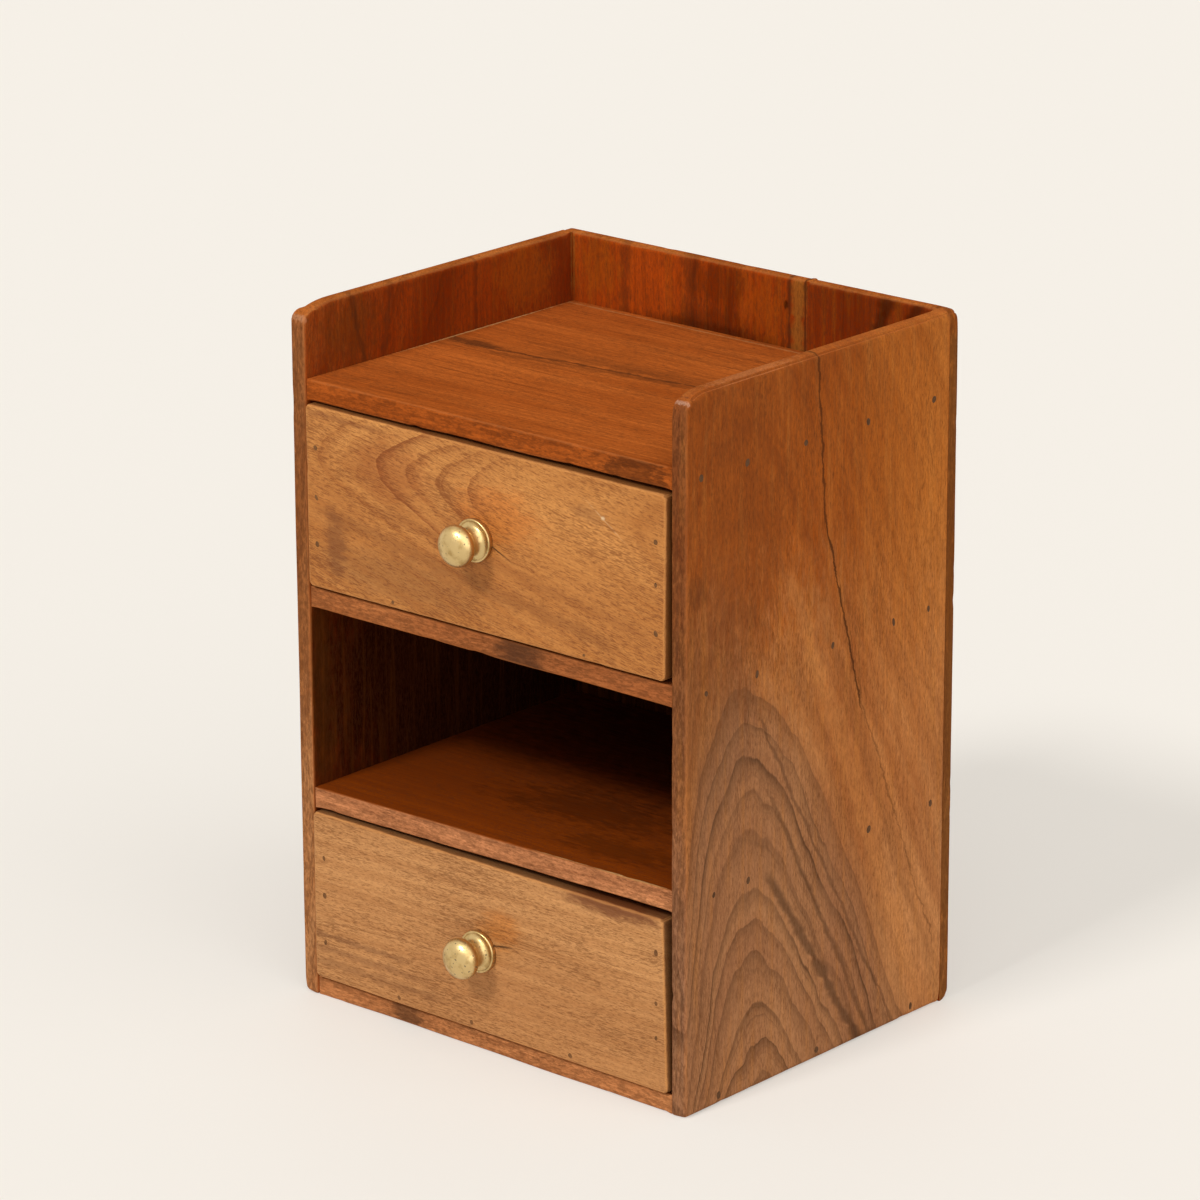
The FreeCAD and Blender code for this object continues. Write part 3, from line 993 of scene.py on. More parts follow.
@dataclass
class Board:
    """A sawn board with hand-eased edges that stands for its CAD node.

    Its skin is a box lattice whose points are pulled onto rounds: with q the point clipped to the box less
    the radius r, a point p goes to q + r (p - q) / |p - q|.  The radius changes along the edges, and away
    from them the faces are planed a little hollow.
    """

    node: str
    body: Body
    slot: Slot
    lay: Lay
    finish: WoodFinish
    figure: Figure
    tints: tuple[Mark, ...] = ()
    marks: tuple[Mark, ...] = ()
    arris: float = 0.0013
    unevenness: float = 0.08
    swell_length: float = 0.05
    nick_share: float = 0.6
    nick_spacing: float = 0.009
    nick_level: float = 1.3
    tight: float = 0.0003
    hollow: float = 0.00006
    top_reach: float = 0.006
    wear_reach: float = 0.9
    pitch: float = 0.0035
    seed: int = 1
    low: Array = field(init=False)
    high: Array = field(init=False)

    def __post_init__(self) -> None:
        """Takes the board's size and place from its node."""
        self.low, self.high = corners_of(self.node)

    def eased(self, points: Array) -> Array:
        """How far the edges near some points are eased, from 0 for tight joints to 1 for open edges."""
        return np.ones(len(points))

    def topmost(self, points: Array) -> Array:
        """How near some points are to an open top edge, by exp(-(d / reach)^2)."""
        return np.exp(-((self.high[2] - points[:, 2]) / self.top_reach) ** 2) * self.eased(points)

    def radius(self, points: Array) -> Array:
        """Works out the rounds near some points: the arris where it is open, uneven and nicked by use.

        Args:
            points: Points of the box.

        Returns:
            A radius for each point.
        """
        least, most, nick_seed = 0.4, 2.0, self.seed + 50
        uneven = 1 + self.unevenness * wander(points, self.swell_length, self.seed)
        nicks = np.clip(wander(points, self.nick_spacing, nick_seed) - self.nick_level, 0, None)
        open_radius = self.arris * np.clip(uneven + self.nick_share * nicks, least, most)
        return self.tight + (open_radius - self.tight) * self.eased(points)

    def fit(self, points: Array) -> Array:
        """Brings the rounded box to the board's own outline."""
        return points

    def build(self) -> bpy.types.Object:
        """Makes the board's mesh.

        Returns:
            The piece, not yet dressed.
        """
        slim_share, flat_from, flat_over, on_face = 0.45, 1.2, 0.002, 1e-9
        ticks = [edge_ticks(a, b, self.arris, self.pitch) for a, b in zip(self.low, self.high)]
        points, quads = box_shell(ticks)
        radius = np.minimum(self.radius(points), slim_share * (self.high - self.low).min())[:, None]
        core = np.clip(points, self.low + radius, self.high - radius)
        off = points - core
        rounded = core + radius * off / np.linalg.norm(off, axis=1, keepdims=True)
        depth = np.minimum(points - self.low, self.high - points)
        room = np.sort(depth, axis=1)[:, 1]
        sunk = self.hollow * fade(room - flat_from * self.arris, flat_over)
        inward = np.sign((self.low + self.high) / 2 - points) * (depth < on_face)
        rounded += sunk[:, None] * inward
        wear = self.eased(points) * np.exp(-(room / (self.wear_reach * self.arris)) ** 2)
        return new_piece(f"{self.node}_worn", self.fit(rounded), quads.tolist(), self.body, self.slot,
                         [self.node], wear=wear)

    def dress(self, piece: bpy.types.Object) -> None:
        """Gives the piece its wood."""
        look = (self.lay, (self.low + self.high) / 2, self.figure, self.tints, self.marks)
        piece.data.materials.append(self.finish.material(f"{self.node} wood", *look))


@dataclass(kw_only=True)
class CrossBoard(Board):
    """A board between the sides: open only along its front edge."""

    lay: Lay = Lay.FLAT
    arris: float = 0.0010
    unevenness: float = 0.25
    nick_share: float = 1.0

    def eased(self, points: Array) -> Array:
        """Tight at both ends and along the rear."""
        ends = np.minimum(points[:, 0] - self.low[0], self.high[0] - points[:, 0])
        return fade(ends, 0.004) * fade(self.high[1] - points[:, 1], 0.01)

    def fit(self, points: Array) -> Array:
        """Brings the ends to their own levels, by the four corners of the rear edge."""
        return to_corners(points, self.node, self.low, self.high)


@dataclass(kw_only=True)
class DrawerFront(Board):
    """A hand-fitted drawer front: four uneven sides, with rounded corners and edges."""

    lay: Lay = Lay.ON_EDGE_ACROSS
    arris: float = 0.0012
    corner_radius: float = 0.0024

    def eased(self, points: Array) -> Array:
        """Tight along the rear."""
        return fade(self.high[1] - points[:, 1], 0.004)

    def fit(self, points: Array) -> Array:
        """Rounds the corners and brings them to their four uneven places.

        Args:
            points: Points of the rounded box.

        Returns:
            The moved points.
        """
        for x in (self.low[0], self.high[0]):
            for z in (self.low[2], self.high[2]):
                points = rounded_corner(points, (0, 2), (x, z), (self.corner_radius,) * 2)
        return to_corners(points, self.node, self.low, self.high, self.corner_radius)


@dataclass(kw_only=True)
class SidePanel(Board):
    """A full-height side with an oval top front corner and a rounded foot."""

    corner: tuple[float, float]
    lay: Lay = Lay.UPRIGHT_SIDE
    foot_round: float = 0.0026
    inner_top_round: float = 0.0026
    outer_top_round: float = 0.0036

    @property
    def outer(self) -> float:
        """Where the outer face lies."""
        return self.high[0] if self.low[0] > 0 else self.low[0]

    def eased(self, points: Array) -> Array:
        """Tight along the rear, where the back is nailed on."""
        return fade(self.high[1] - points[:, 1], 0.005)

    def radius(self, points: Array) -> Array:
        """Lets the rounds grow towards the outer foot and along the top of the inner face.

        Args:
            points: Points of the box.

        Returns:
            A radius for each point.
        """
        foot_reach, inward_over = 0.004, 0.006
        inward = fade(np.abs(points[:, 0] - self.outer), inward_over)
        foot = np.exp(-(points[:, 2] / foot_reach) ** 2) * (1 - inward)
        grown = (self.inner_top_round - self.arris) * self.topmost(points) * inward
        return super().radius(points) + (self.foot_round - self.arris) * foot + grown

    def fit(self, points: Array) -> Array:
        """Rounds the top of the outer face and the top front corner."""
        points = rounded_corner(points, (0, 2), (self.outer, self.high[2]), (self.outer_top_round,) * 2)
        return rounded_corner(points, (1, 2), (self.low[1], self.high[2]), self.corner)


@dataclass(kw_only=True)
class BackBoard(Board):
    """One of the two upright back boards: tight to the sides and to its neighbour."""

    lay: Lay = Lay.UPRIGHT_BACK
    arris: float = 0.0012
    corner_radius: float = 0.0045
    heel_round: float = 0.0045
    top_round: float = 0.0022

    @property
    def outer(self) -> float:
        """The board's outer edge, away from the joint."""
        return self.low[0] if abs(self.low[0]) > abs(self.high[0]) else self.high[0]

    def eased(self, points: Array) -> Array:
        """Keeps the front tight, but for the top edge, and the joint.

        Args:
            points: Points of the box.

        Returns:
            From 0, tight, to 1, open.
        """
        joint = self.high[0] if self.outer == self.low[0] else self.low[0]
        rear = fade(points[:, 1] - self.low[1], 0.004)
        top = fade(points[:, 2] - self.high[2] + 0.01, 0.008)
        return np.maximum(rear, top) * fade(np.abs(points[:, 0] - joint), 0.002)

    def radius(self, points: Array) -> Array:
        """Grows towards the top."""
        return super().radius(points) + (self.top_round - self.arris) * self.topmost(points)

    def fit(self, points: Array) -> Array:
        """Rounds the top outer corner and the heel."""
        points = rounded_corner(points, (0, 2), (self.outer, self.high[2]), (self.corner_radius,) * 2)
        return rounded_corner(points, (1, 2), (self.high[1], self.low[2]), (self.heel_round,) * 2)


@dataclass(kw_only=True)
class BoxBoard(Board):
    """A board of a drawer's box: open only along its top."""

    slot: Slot = Slot.DRAWER_BOX_WOOD
    arris: float = 0.0012
    pitch: float = 0.006

    def eased(self, points: Array) -> Array:
        """Tight everywhere but along the top."""
        return fade(points[:, 2] - self.high[2] + 0.006, 0.005)


def to_corners(points: Array, node: str, low: Array, high: Array, corner_radius: float = 0.0) -> Array:
    """Stretches a box so that its front outline follows a node's four corners.

    With s and t the shares of the way across and up, a point goes to the blend
    (1-s)(1-t) A + s(1-t) B + s t C + (1-s) t D of the corners A to D of the node's rear face.

    Args:
        points: Points of the box.
        node: The node.
        low: The box's lowest corner.
        high: Its highest corner.
        corner_radius: The round that cuts the node's corners.

    Returns:
        The points, moved across and up only.
    """
    flatness = 1e-5
    cut = corner_radius * (1 - math.sqrt(0.5))
    ways = np.array([(-1, -1), (1, -1), (1, 1), (-1, 1)])
    rear = node_points(node)
    rear = rear[rear[:, 1] > high[1] - flatness][:, [0, 2]]
    picks = rear[np.argmax(rear @ ways.T, axis=0)] + cut * ways
    share = (points - low) / (high - low)
    s, t = share[:, 0:1], share[:, 2:3]
    foot = (1 - s) * picks[0] + s * picks[1]
    top = s * picks[2] + (1 - s) * picks[3]
    outline = (1 - t) * foot + t * top
    return np.column_stack([outline[:, 0], points[:, 1], outline[:, 1]])


def rounded_corner(points: Array, axes: tuple[int, int], corner: tuple[float, float],
                   size: tuple[float, float]) -> Array:
    """Turns a square corner into a quarter of an oval.

    In the oval's own rectangle, with a and b the shares of the way from its centre to the two sides, a
    point (a, b) goes to (a, b) max(a, b) / hypot(a, b).

    Args:
        points: Points, one row each.
        axes: The two axes that the corner lies in.
        corner: The corner's place on them.
        size: The oval's reach along them.

    Returns:
        The moved points.
    """
    first, second = axes
    middle = points.mean(axis=0)
    reach = np.sign(np.array(corner) - middle[[first, second]]) * size
    centre = np.array(corner) - reach
    share = (points[:, [first, second]] - centre) / reach
    inside = (share > 0).all(axis=1)
    pull = share[inside].max(axis=1) / np.linalg.norm(share[inside], axis=1)
    moved = points.copy()
    moved[np.ix_(inside, [first, second])] = centre + reach * share[inside] * pull[:, None]
    return moved


@dataclass
class Knob:
    """A turned brass knob, spun from one profile: flange, trumpet neck and oval cap."""

    node: str
    body: Body
    flange_thickness: float = 0.0023
    rim_width: float = 0.001
    bevel: float = 0.0005
    step: float = 0.0004
    neck_radius: float = 0.0048
    cap_radius: float = 0.0088
    cap_half_length: float = 0.0054
    socket_radius: float = 0.002
    socket_depth: float = 0.007
    unevenness: float = 0.006
    uneven_length: float = 0.012
    around: int = 96
    seed: int = 3

    def profile(self, flange_radius: float, reach: float) -> Array:
        """Works out the knob's outline as rows of radius and reach from its seat.

        Straight runs over the flange, a curve of two straight pulls (1-t)^2 A + 2t(1-t) B + t^2 C for the
        neck, and the ellipse (R cos a, m + h sin a) for the cap.

        Args:
            flange_radius: The flange's radius.
            reach: How far the knob stands out.

        Returns:
            The outline from the socket to the crown, without the points on the axis.
        """
        rim = flange_radius - self.rim_width
        foot = self.flange_thickness - self.step
        middle = reach - self.cap_half_length
        neck_turn = -math.acos(self.neck_radius / self.cap_radius)
        neck_top = (self.neck_radius, middle + self.cap_half_length * math.sin(neck_turn))
        corners = np.array([
            (self.socket_radius, self.socket_depth),
            (self.socket_radius, 0),
            (flange_radius - 0.3 * self.bevel, 0),
            (flange_radius, 0.3 * self.bevel),
            (flange_radius, self.flange_thickness - self.bevel),
            (flange_radius - 0.3 * self.bevel, self.flange_thickness - 0.25 * self.bevel),
            (flange_radius - self.bevel, self.flange_thickness),
            (rim + 0.2 * self.step, self.flange_thickness),
            (rim, self.flange_thickness - 0.3 * self.step),
        ])
        t = np.linspace(0, 1, 25)[:, None]
        pulls = np.array([(rim - 0.1 * self.step, foot), (self.neck_radius, foot), neck_top])
        trumpet = (1 - t) ** 2 * pulls[0] + 2 * t * (1 - t) * pulls[1] + t ** 2 * pulls[2]
        turns = np.linspace(neck_turn, math.pi / 2, 49)[1:-1]
        cap = np.column_stack([
            self.cap_radius * np.cos(turns), middle + self.cap_half_length * np.sin(turns)
        ])
        return np.concatenate([corners, trumpet, cap])

    def build(self) -> bpy.types.Object:
        """Spins the profile about the knob's axis, a little uneven as cast brass is.

        Returns:
            The piece, not yet dressed.
        """
        low, high = corners_of(self.node)
        middle = (low + high) / 2
        reach = high[1] - low[1]
        outline = self.profile((high[0] - low[0]) / 2, reach)
        turns = np.arange(self.around) * (2 * np.pi / self.around)
        spokes = np.column_stack([np.cos(turns), np.zeros(self.around), np.sin(turns)])
        rings = outline[:, 0, None, None] * spokes - outline[:, 1, None, None] * np.array([0, 1.0, 0])
        poles = np.array([[0, -self.socket_depth, 0], [0, -reach, 0]])
        points = np.concatenate([poles[:1], rings.reshape(-1, 3), poles[1:]])
        uneven = 1 - self.unevenness * (1 + wander(points, self.uneven_length, self.seed)) / 2
        points[:, [0, 2]] *= uneven[:, None]
        points += (middle[0], high[1], middle[2])
        faces = spun_faces(len(outline), self.around)
        return new_piece(f"{self.node}_turned", points, faces, self.body, Slot.BRASS, [self.node])

    def dress(self, piece: bpy.types.Object) -> None:
        """Gives the piece its brass."""
        piece.data.materials.append(BRASS.material())


@dataclass
class BradMarks:
    """Brads with the filler over their heads: oval plugs, a little domed, each turned its own way."""

    node: str
    body: Body
    finish: MetalFinish = FRONT_FILLER
    half_width: float = 0.0012
    half_breadth: float = 0.0009
    sink: float = 0.0004
    dome: float = 0.00003
    lean: float = 0.35
    sizes: tuple[float, float] = (0.75, 1.2)
    around: int = 20
    seed: int = 7
    triangles_per_brad: int = 12

    def build(self) -> bpy.types.Object:
        """Carries an oval section down each brad: plug, shank and tip.

        The section is (a cos t, b sin t), with its own a and b at each depth, turned by a random lean.

        Returns:
            The piece, not yet dressed.
        """
        crown_share, crown_depth, bottom_share = 0.7, 0.4, 0.95
        count = len(frame["nodes"][self.node].data.polygons) // self.triangles_per_brad
        corners = node_points(self.node).reshape(count, -1, 3)
        low, high = corners.min(axis=1), corners.max(axis=1)
        centre, size = (low + high) / 2, high - low
        brad = np.arange(count)[:, None]
        heading = size.argmax(axis=1)[:, None]
        flat_axes = np.array([[1, 2], [0, 2], [0, 1]])[heading[:, 0]]
        outward = np.sign(centre[brad, heading] - body_middle(self.body)[heading])
        length = size[brad, heading]
        draw = np.random.default_rng(self.seed)
        lean = draw.normal(0, self.lean, count)
        plug = draw.uniform(*self.sizes, (count, 2)) * (self.half_breadth, self.half_width)
        shank = size[brad, flat_axes] / 2
        halves = np.stack([crown_share * plug, plug, bottom_share * plug, shank, shank], axis=1)
        depths = np.full((count, halves.shape[1]), self.sink)
        depths[:, :2] = crown_depth * self.dome, self.dome
        depths[:, -1:] = tip = length + self.sink
        turns = np.arange(self.around) * (2 * np.pi / self.around)
        ovals = halves[:, :, None] * np.column_stack([np.cos(turns), np.sin(turns)])
        cosine, sine = np.cos(lean), np.sin(lean)
        turned = np.stack([cosine, -sine, sine, cosine], axis=-1).reshape(-1, 2, 2)
        rings = np.einsum("nij,nrkj->nrki", turned, ovals).reshape(count, -1, 2)
        pole = np.zeros((count, 1, 2))
        flat = np.concatenate([pole, rings, pole], axis=1) + centre[brad, flat_axes][:, None]
        down = np.concatenate([np.zeros((count, 1)), np.repeat(depths, self.around, axis=1), tip], axis=1)
        deep = centre[brad, heading] + outward * (length / 2 + self.sink - down)
        points = np.zeros((*down.shape, 3))
        for axes, values in ((flat_axes, flat), (heading, deep[:, :, None])):
            np.put_along_axis(points, np.broadcast_to(axes[:, None], values.shape), values, axis=2)
        starts = np.arange(count) * down.shape[1]
        faces = [face for start in starts for face in spun_faces(halves.shape[1], self.around, start)]
        name = f"{self.node}_filled"
        return new_piece(name, points.reshape(-1, 3), faces, self.body, Slot.STEEL, [self.node])

    def dress(self, piece: bpy.types.Object) -> None:
        """Gives the piece its filler."""
        piece.data.materials.append(self.finish.material())


def body_middle(body: Body) -> Array:
    """The middle of all the CAD nodes that ride on a body."""
    boxes = [corners_of(name) for name, node in frame["nodes"].items() if node["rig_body"] == body.value]
    return (np.min([low for low, _ in boxes], axis=0) + np.max([high for _, high in boxes], axis=0)) / 2


class Assembly:
    """A body of the organizer, which builds its pieces and dresses them."""

    def pieces(self) -> list[Board | Knob | BradMarks]:
        """Describes the pieces, in the order of their building."""
        raise NotImplementedError

    def build(self) -> None:
        """Builds and dresses each piece."""
        for piece in self.pieces():
            piece.dress(piece.build())


@dataclass
class Carcass(Assembly):
    """The cabinet: two sides, a two-board back, four cross boards and their brads."""

    body: Body = Body.CARCASS
    slot: Slot = Slot.CARCASS_WOOD
    right_corner: tuple[float, float] = (0.013, 0.0075)
    left_corner: tuple[float, float] = (0.020, 0.0065)
    plug_half_width: float = 0.0016
    plug_half_breadth: float = 0.0011

    def pieces(self) -> list[Board | BradMarks]:
        """Describes the boards and the brads.

        Returns:
            The pieces, in the order of their building.
        """
        brads = [
            BradMarks(name, self.body, FILLER, self.plug_half_width, self.plug_half_breadth)
            for name in ("left_side_brads", "right_side_brads", "back_brads")
        ]
        return [self.right_side(), self.left_side(), *self.back(), self.top(), *self.shelves(), *brads]

    def right_side(self) -> SidePanel:
        """Describes the right side: a broad figure at its foot, a long vein and slanting streaks.

        Returns:
            The panel.
        """
        return SidePanel(
            "right_side_panel", self.body, self.slot, corner=self.right_corner, seed=11,
            finish=replace(
                CARCASS_WOOD, line=srgb(84, 58, 40), zone=srgb(144, 106, 80), zone_share=0.5, line_share=0.8,
                gleam_share=0.3, worn_share=0.15,
            ),
            figure=Figure(
                -46, -21.1, lean=-0.05, skew=0.0003, taper=0.42, pitch=7.4, offset=0.95, crisp=0.6, shade=0.6,
                wobble=3.4, ripple=3, reach=26, edge=20, outer=0.2, seed=3,
            ),
            tints=(
                Spot(150, -20, 190, 140, srgb(158, 70, 7), share=0.7, ragged=0.6, seed=5),
                Spot(-150, 10, 240, 400, srgb(214, 152, 98), share=0.7, ragged=0.6, seed=6),
                Spot(-10, 40, 90, 60, srgb(210, 132, 68), share=0.4, ragged=0.8, seed=7),
                Spot(110, 60, 130, 60, srgb(204, 120, 46), share=0.5, ragged=0.8, seed=8),
                Spot(20, -66, 70, 36, srgb(128, 84, 54), share=0.5, ragged=1, seed=9),
                Spot(150, 0, 20, 240, srgb(206, 114, 50), share=0.7, ragged=0.4, face=RIM, seed=2),
                Spot(0, -83, 400, 12, srgb(134, 84, 52), share=0.6, ragged=1.8, face=FRONT),
                # Painted light: the front edge paler towards its foot, where light bounces up from the floor.
                Spot(-150, -83, 190, 12, srgb(194, 140, 100), share=0.8, ragged=0.6, face=FRONT),
            ),
            marks=(
                Spot(95, -50, 90, 44, srgb(112, 54, 24), share=0.4, ragged=2),
                Spot(0, -83, 400, 1.2, srgb(56, 28, 16), share=0.45, ragged=4, grit=2.6, face=FRONT, seed=2),
                # A painted glint on the top front corner.
                Spot(146, -80.4, 1.4, 1.0, srgb(236, 196, 170), share=0.3, ragged=2.4, grit=3, seed=4),
                Spot(150, -40, 12, 30, srgb(206, 132, 84), share=0.3, ragged=2.6, grit=1.6, face=RIM, seed=3),
                Spot(69, -75, 9, 9, srgb(84, 46, 26), share=0.4, ragged=2.2, grit=1.6, seed=5),
                Streak(7, -150, 70, srgb(202, 134, 74), share=0.25, slope=-0.42, stray=10, width=7, seed=5),
                Streak(-4, -155, 40, srgb(118, 76, 46), share=0.15, slope=-0.43, stray=10, width=6, seed=6),
                Streak(20, -155, 60, srgb(120, 76, 44), share=0.22, slope=-0.42, stray=10, width=5, seed=8),
                Streak(-71, -160, -54, srgb(70, 50, 36), share=0.65, slope=-0.66, stray=7, width=4, seed=4),
                Streak(-44, -160, -20, srgb(84, 58, 40), share=0.5, slope=-0.53, stray=8, width=2, seed=7),
                Streak(-33, -165, 14, srgb(80, 54, 38), share=0.5, slope=-0.56, stray=8, width=1.5, seed=9),
                Streak(27, -130, 16, DARK_VEIN, share=0.35, slope=-0.41, stray=14, width=0.8, seed=3),
                Streak(8.6, 74, 160, DARK_VEIN, share=0.7, slope=-0.07, stray=9, width=1),
                Streak(26, -12, 88, DARK_VEIN, share=0.8, slope=-0.28, stray=9, width=0.9, seed=2),
            ),
        )

    def left_side(self) -> SidePanel:
        """Describes the left side: old varnish inside the tray, and painted shade in the cubby.

        Returns:
            The panel.
        """
        return SidePanel(
            "left_side_panel", self.body, self.slot, corner=self.left_corner, seed=12,
            finish=replace(INNER_WOOD, gleam_share=0.2),
            figure=Figure(30, 120, lean=0.04, taper=0.12, pitch=5, wobble=2.4, seed=8),
            tints=(
                Spot(0, 20, 400, 230, OLD_VARNISH, share=0.9, ragged=0.5, face=HIGH),
                # Painted shade: the cubby's wall darkened nearly to black, where the upper shelf keeps the
                # light out.
                Spot(-17, 20, 110, 200, DARK_VARNISH_AND_SHADE, share=0.93, ragged=0.5, face=HIGH),
                Spot(150, 0, 20, 240, srgb(212, 118, 52), share=0.7, ragged=0.4, face=RIM, seed=2),
                Spot(0, -83, 400, 12, srgb(162, 106, 66), share=0.7, ragged=1, face=FRONT),
                # Painted light: the front edge paler towards its foot, where light bounces up from the floor.
                Spot(-150, -83, 170, 12, srgb(228, 168, 112), share=0.8, ragged=0.6, face=FRONT),
            ),
            marks=(
                Spot(0, -83, 400, 1.2, srgb(72, 42, 28), share=0.4, ragged=4, grit=2.6, face=FRONT),
                # A pale line on the top front corner: partly wear and partly a painted glint.
                Spot(144.5, -81.4, 2.2, 1.2, srgb(220, 164, 124), share=0.3, ragged=2.4, grit=2, seed=4),
                Spot(136, 52, 20, 24, srgb(164, 84, 20), share=0.4, ragged=2.2, face=HIGH, seed=7),
                Spot(134, -56, 20, 22, srgb(92, 50, 14), share=0.4, ragged=2.2, face=HIGH, seed=8),
                Streak(-76, -62, 30, srgb(74, 44, 10), share=0.4, stray=5, width=9, face=HIGH),
                Streak(21, 100, 165, DARK_VEIN, share=0.4, stray=4, width=1.6),
                Streak(-17, 108, 160, DARK_VEIN, share=0.35, slope=-0.25, stray=5, width=2.4),
                Streak(-60, 112, 165, DARK_VEIN, share=0.35, slope=0.2, stray=8, width=3, seed=3),
                Streak(81.6, 118, 165, OLIVE, share=0.6, stray=0.6, width=0.9, face=HIGH),
            ),
        )

    def back(self) -> list[BackBoard]:
        """Describes the two back boards, with a seam of bare wood at their joint.

        Returns:
            The left and the right board.
        """
        red_rim = Spot(150, 0, 14, 300, srgb(206, 112, 48), share=0.7, ragged=0.4, face=RIM, seed=2)
        # Painted shade over the inside of the back within the cubby.
        painted_cubby_shade = Spot(-17, 0, 110, 300, DARK_VARNISH_AND_SHADE, share=0.92, ragged=0.5, face=LOW)
        back_left = BackBoard(
            "back_board_left", self.body, self.slot, finish=INNER_WOOD, seed=13,
            figure=Figure(-150, 60, taper=0.03, pitch=6, wobble=2, seed=5),
            tints=(
                Spot(0, 0, 400, 300, srgb(190, 74, 8), share=0.9, ragged=0.5, face=LOW),
                painted_cubby_shade,
                red_rim,
            ),
            marks=(
                Streak(63.8, 100, 165, OLIVE, share=0.7, stray=1.5, width=5.5, face=LOW),
                Streak(59, 100, 165, DARK_VEIN, share=0.6, stray=2, width=1.4),
                Streak(67.6, 100, 165, DARK_VEIN, share=0.7, stray=1, width=1, seed=2),
                Spot(138, 57, 2.6, 1.6, DARK_VARNISH_AND_SHADE, share=0.8, ragged=1.2, face=LOW),
                Spot(140, 20, 14, 26, DARK_VARNISH_AND_SHADE, share=0.35, ragged=1.6, face=LOW, seed=6),
                Streak(-31, 100, 165, DARK_VEIN, share=0.35, stray=6, width=4),
                Streak(5, 100, 165, DARK_VEIN, share=0.35, stray=6, width=6, seed=2),
                Streak(-60, 118, 165, OLIVE, share=0.6, stray=0.6, width=0.9, face=LOW),
                Spot(122, 20, 12, 34, DARK_VARNISH_AND_SHADE, share=0.4, ragged=0.9, face=LOW, seed=3),
                # Painted shade: a dark strip along the foot of the wall, where it meets the tray's floor.
                Spot(119, 16, 6, 60, DARK_VARNISH_AND_SHADE, share=0.5, ragged=1, face=LOW, seed=4),
                Spot(136, -46, 16, 16, srgb(168, 86, 18), share=0.4, ragged=2.4, face=LOW, seed=7),
                Spot(134, 44, 18, 16, srgb(168, 84, 18), share=0.35, ragged=2.4, face=LOW, seed=8),
            ),
        )
        back_right = BackBoard(
            "back_board_right", self.body, self.slot, finish=INNER_WOOD, seed=14,
            figure=Figure(160, 40, taper=0.03, pitch=5, wobble=2, seed=6),
            tints=(
                Spot(0, 0, 400, 300, srgb(146, 48, 3), share=0.9, ragged=0.5, face=LOW),
                painted_cubby_shade,
                Spot(0, 37, 400, 9, srgb(168, 112, 60), share=0.8, ragged=0.8, face=RIM),
                red_rim,
            ),
            marks=(
                Streak(-25, 100, 165, srgb(160, 92, 30), share=0.5, slope=0.5, stray=8, width=3, face=LOW),
                Streak(-68, 100, 165, DARK_VARNISH_AND_SHADE, share=0.6, slope=0.5, stray=8, width=5, face=LOW, seed=2),
                Streak(
                    -46, 100, 165, DARK_VARNISH_AND_SHADE, share=0.6, slope=0.45, stray=8, width=6, face=LOW, seed=4,
                ),
                Streak(
                    4, 100, 165, srgb(150, 84, 28), share=0.4, slope=0.3, stray=8, width=2, face=LOW, seed=3,
                ),
                Spot(0, 37, 400, 12, srgb(54, 32, 18), share=0.35, ragged=5, face=RIM, seed=2),
            ),
        )
        return [back_left, back_right]

    def top(self) -> CrossBoard:
        """Describes the tray's floor, with its vein and lines of glue.

        Returns:
            The board.
        """
        return CrossBoard(
            "top_board", self.body, self.slot, finish=TRAY_WOOD, seed=15,
            figure=Figure(120, 90, taper=0.02, pitch=6, wobble=2, seed=7),
            tints=(Spot(0, -83, 300, 12, srgb(212, 112, 44), share=0.7, ragged=1, face=FRONT),),
            marks=(
                Spot(-84, 4, 20, 5, DARK_VEIN, share=0.6, ragged=1.8),
                Streak(9, -100, 45, DARK_VEIN, share=0.6, slope=0.1, stray=8, width=1.6),
                Streak(6, -74, 70, DARK_VEIN, share=0.3, slope=0.12, stray=9, width=3.4, seed=5),
                Streak(16, -60, 80, DARK_VEIN, share=0.25, slope=0.1, stray=9, width=8, seed=6),
                Spot(0, -82.6, 300, 1.2, srgb(80, 36, 14), share=0.4, ragged=4, grit=2, face=FRONT, seed=4),
                Spot(80, -83, 22, 12, srgb(64, 34, 18), share=0.6, ragged=2, face=FRONT, seed=2),
                Spot(-97.2, 24, 1.0, 66, GLUE_AND_GLINT, share=0.6, ragged=1.4, face=HIGH),
                # Painted glints along the back joint of the tray, in the colour of glue.
                Streak(78.6, -110, 40, GLUE_AND_GLINT, share=0.25, stray=1, width=0.9, face=HIGH, seed=3),
            ),
        )

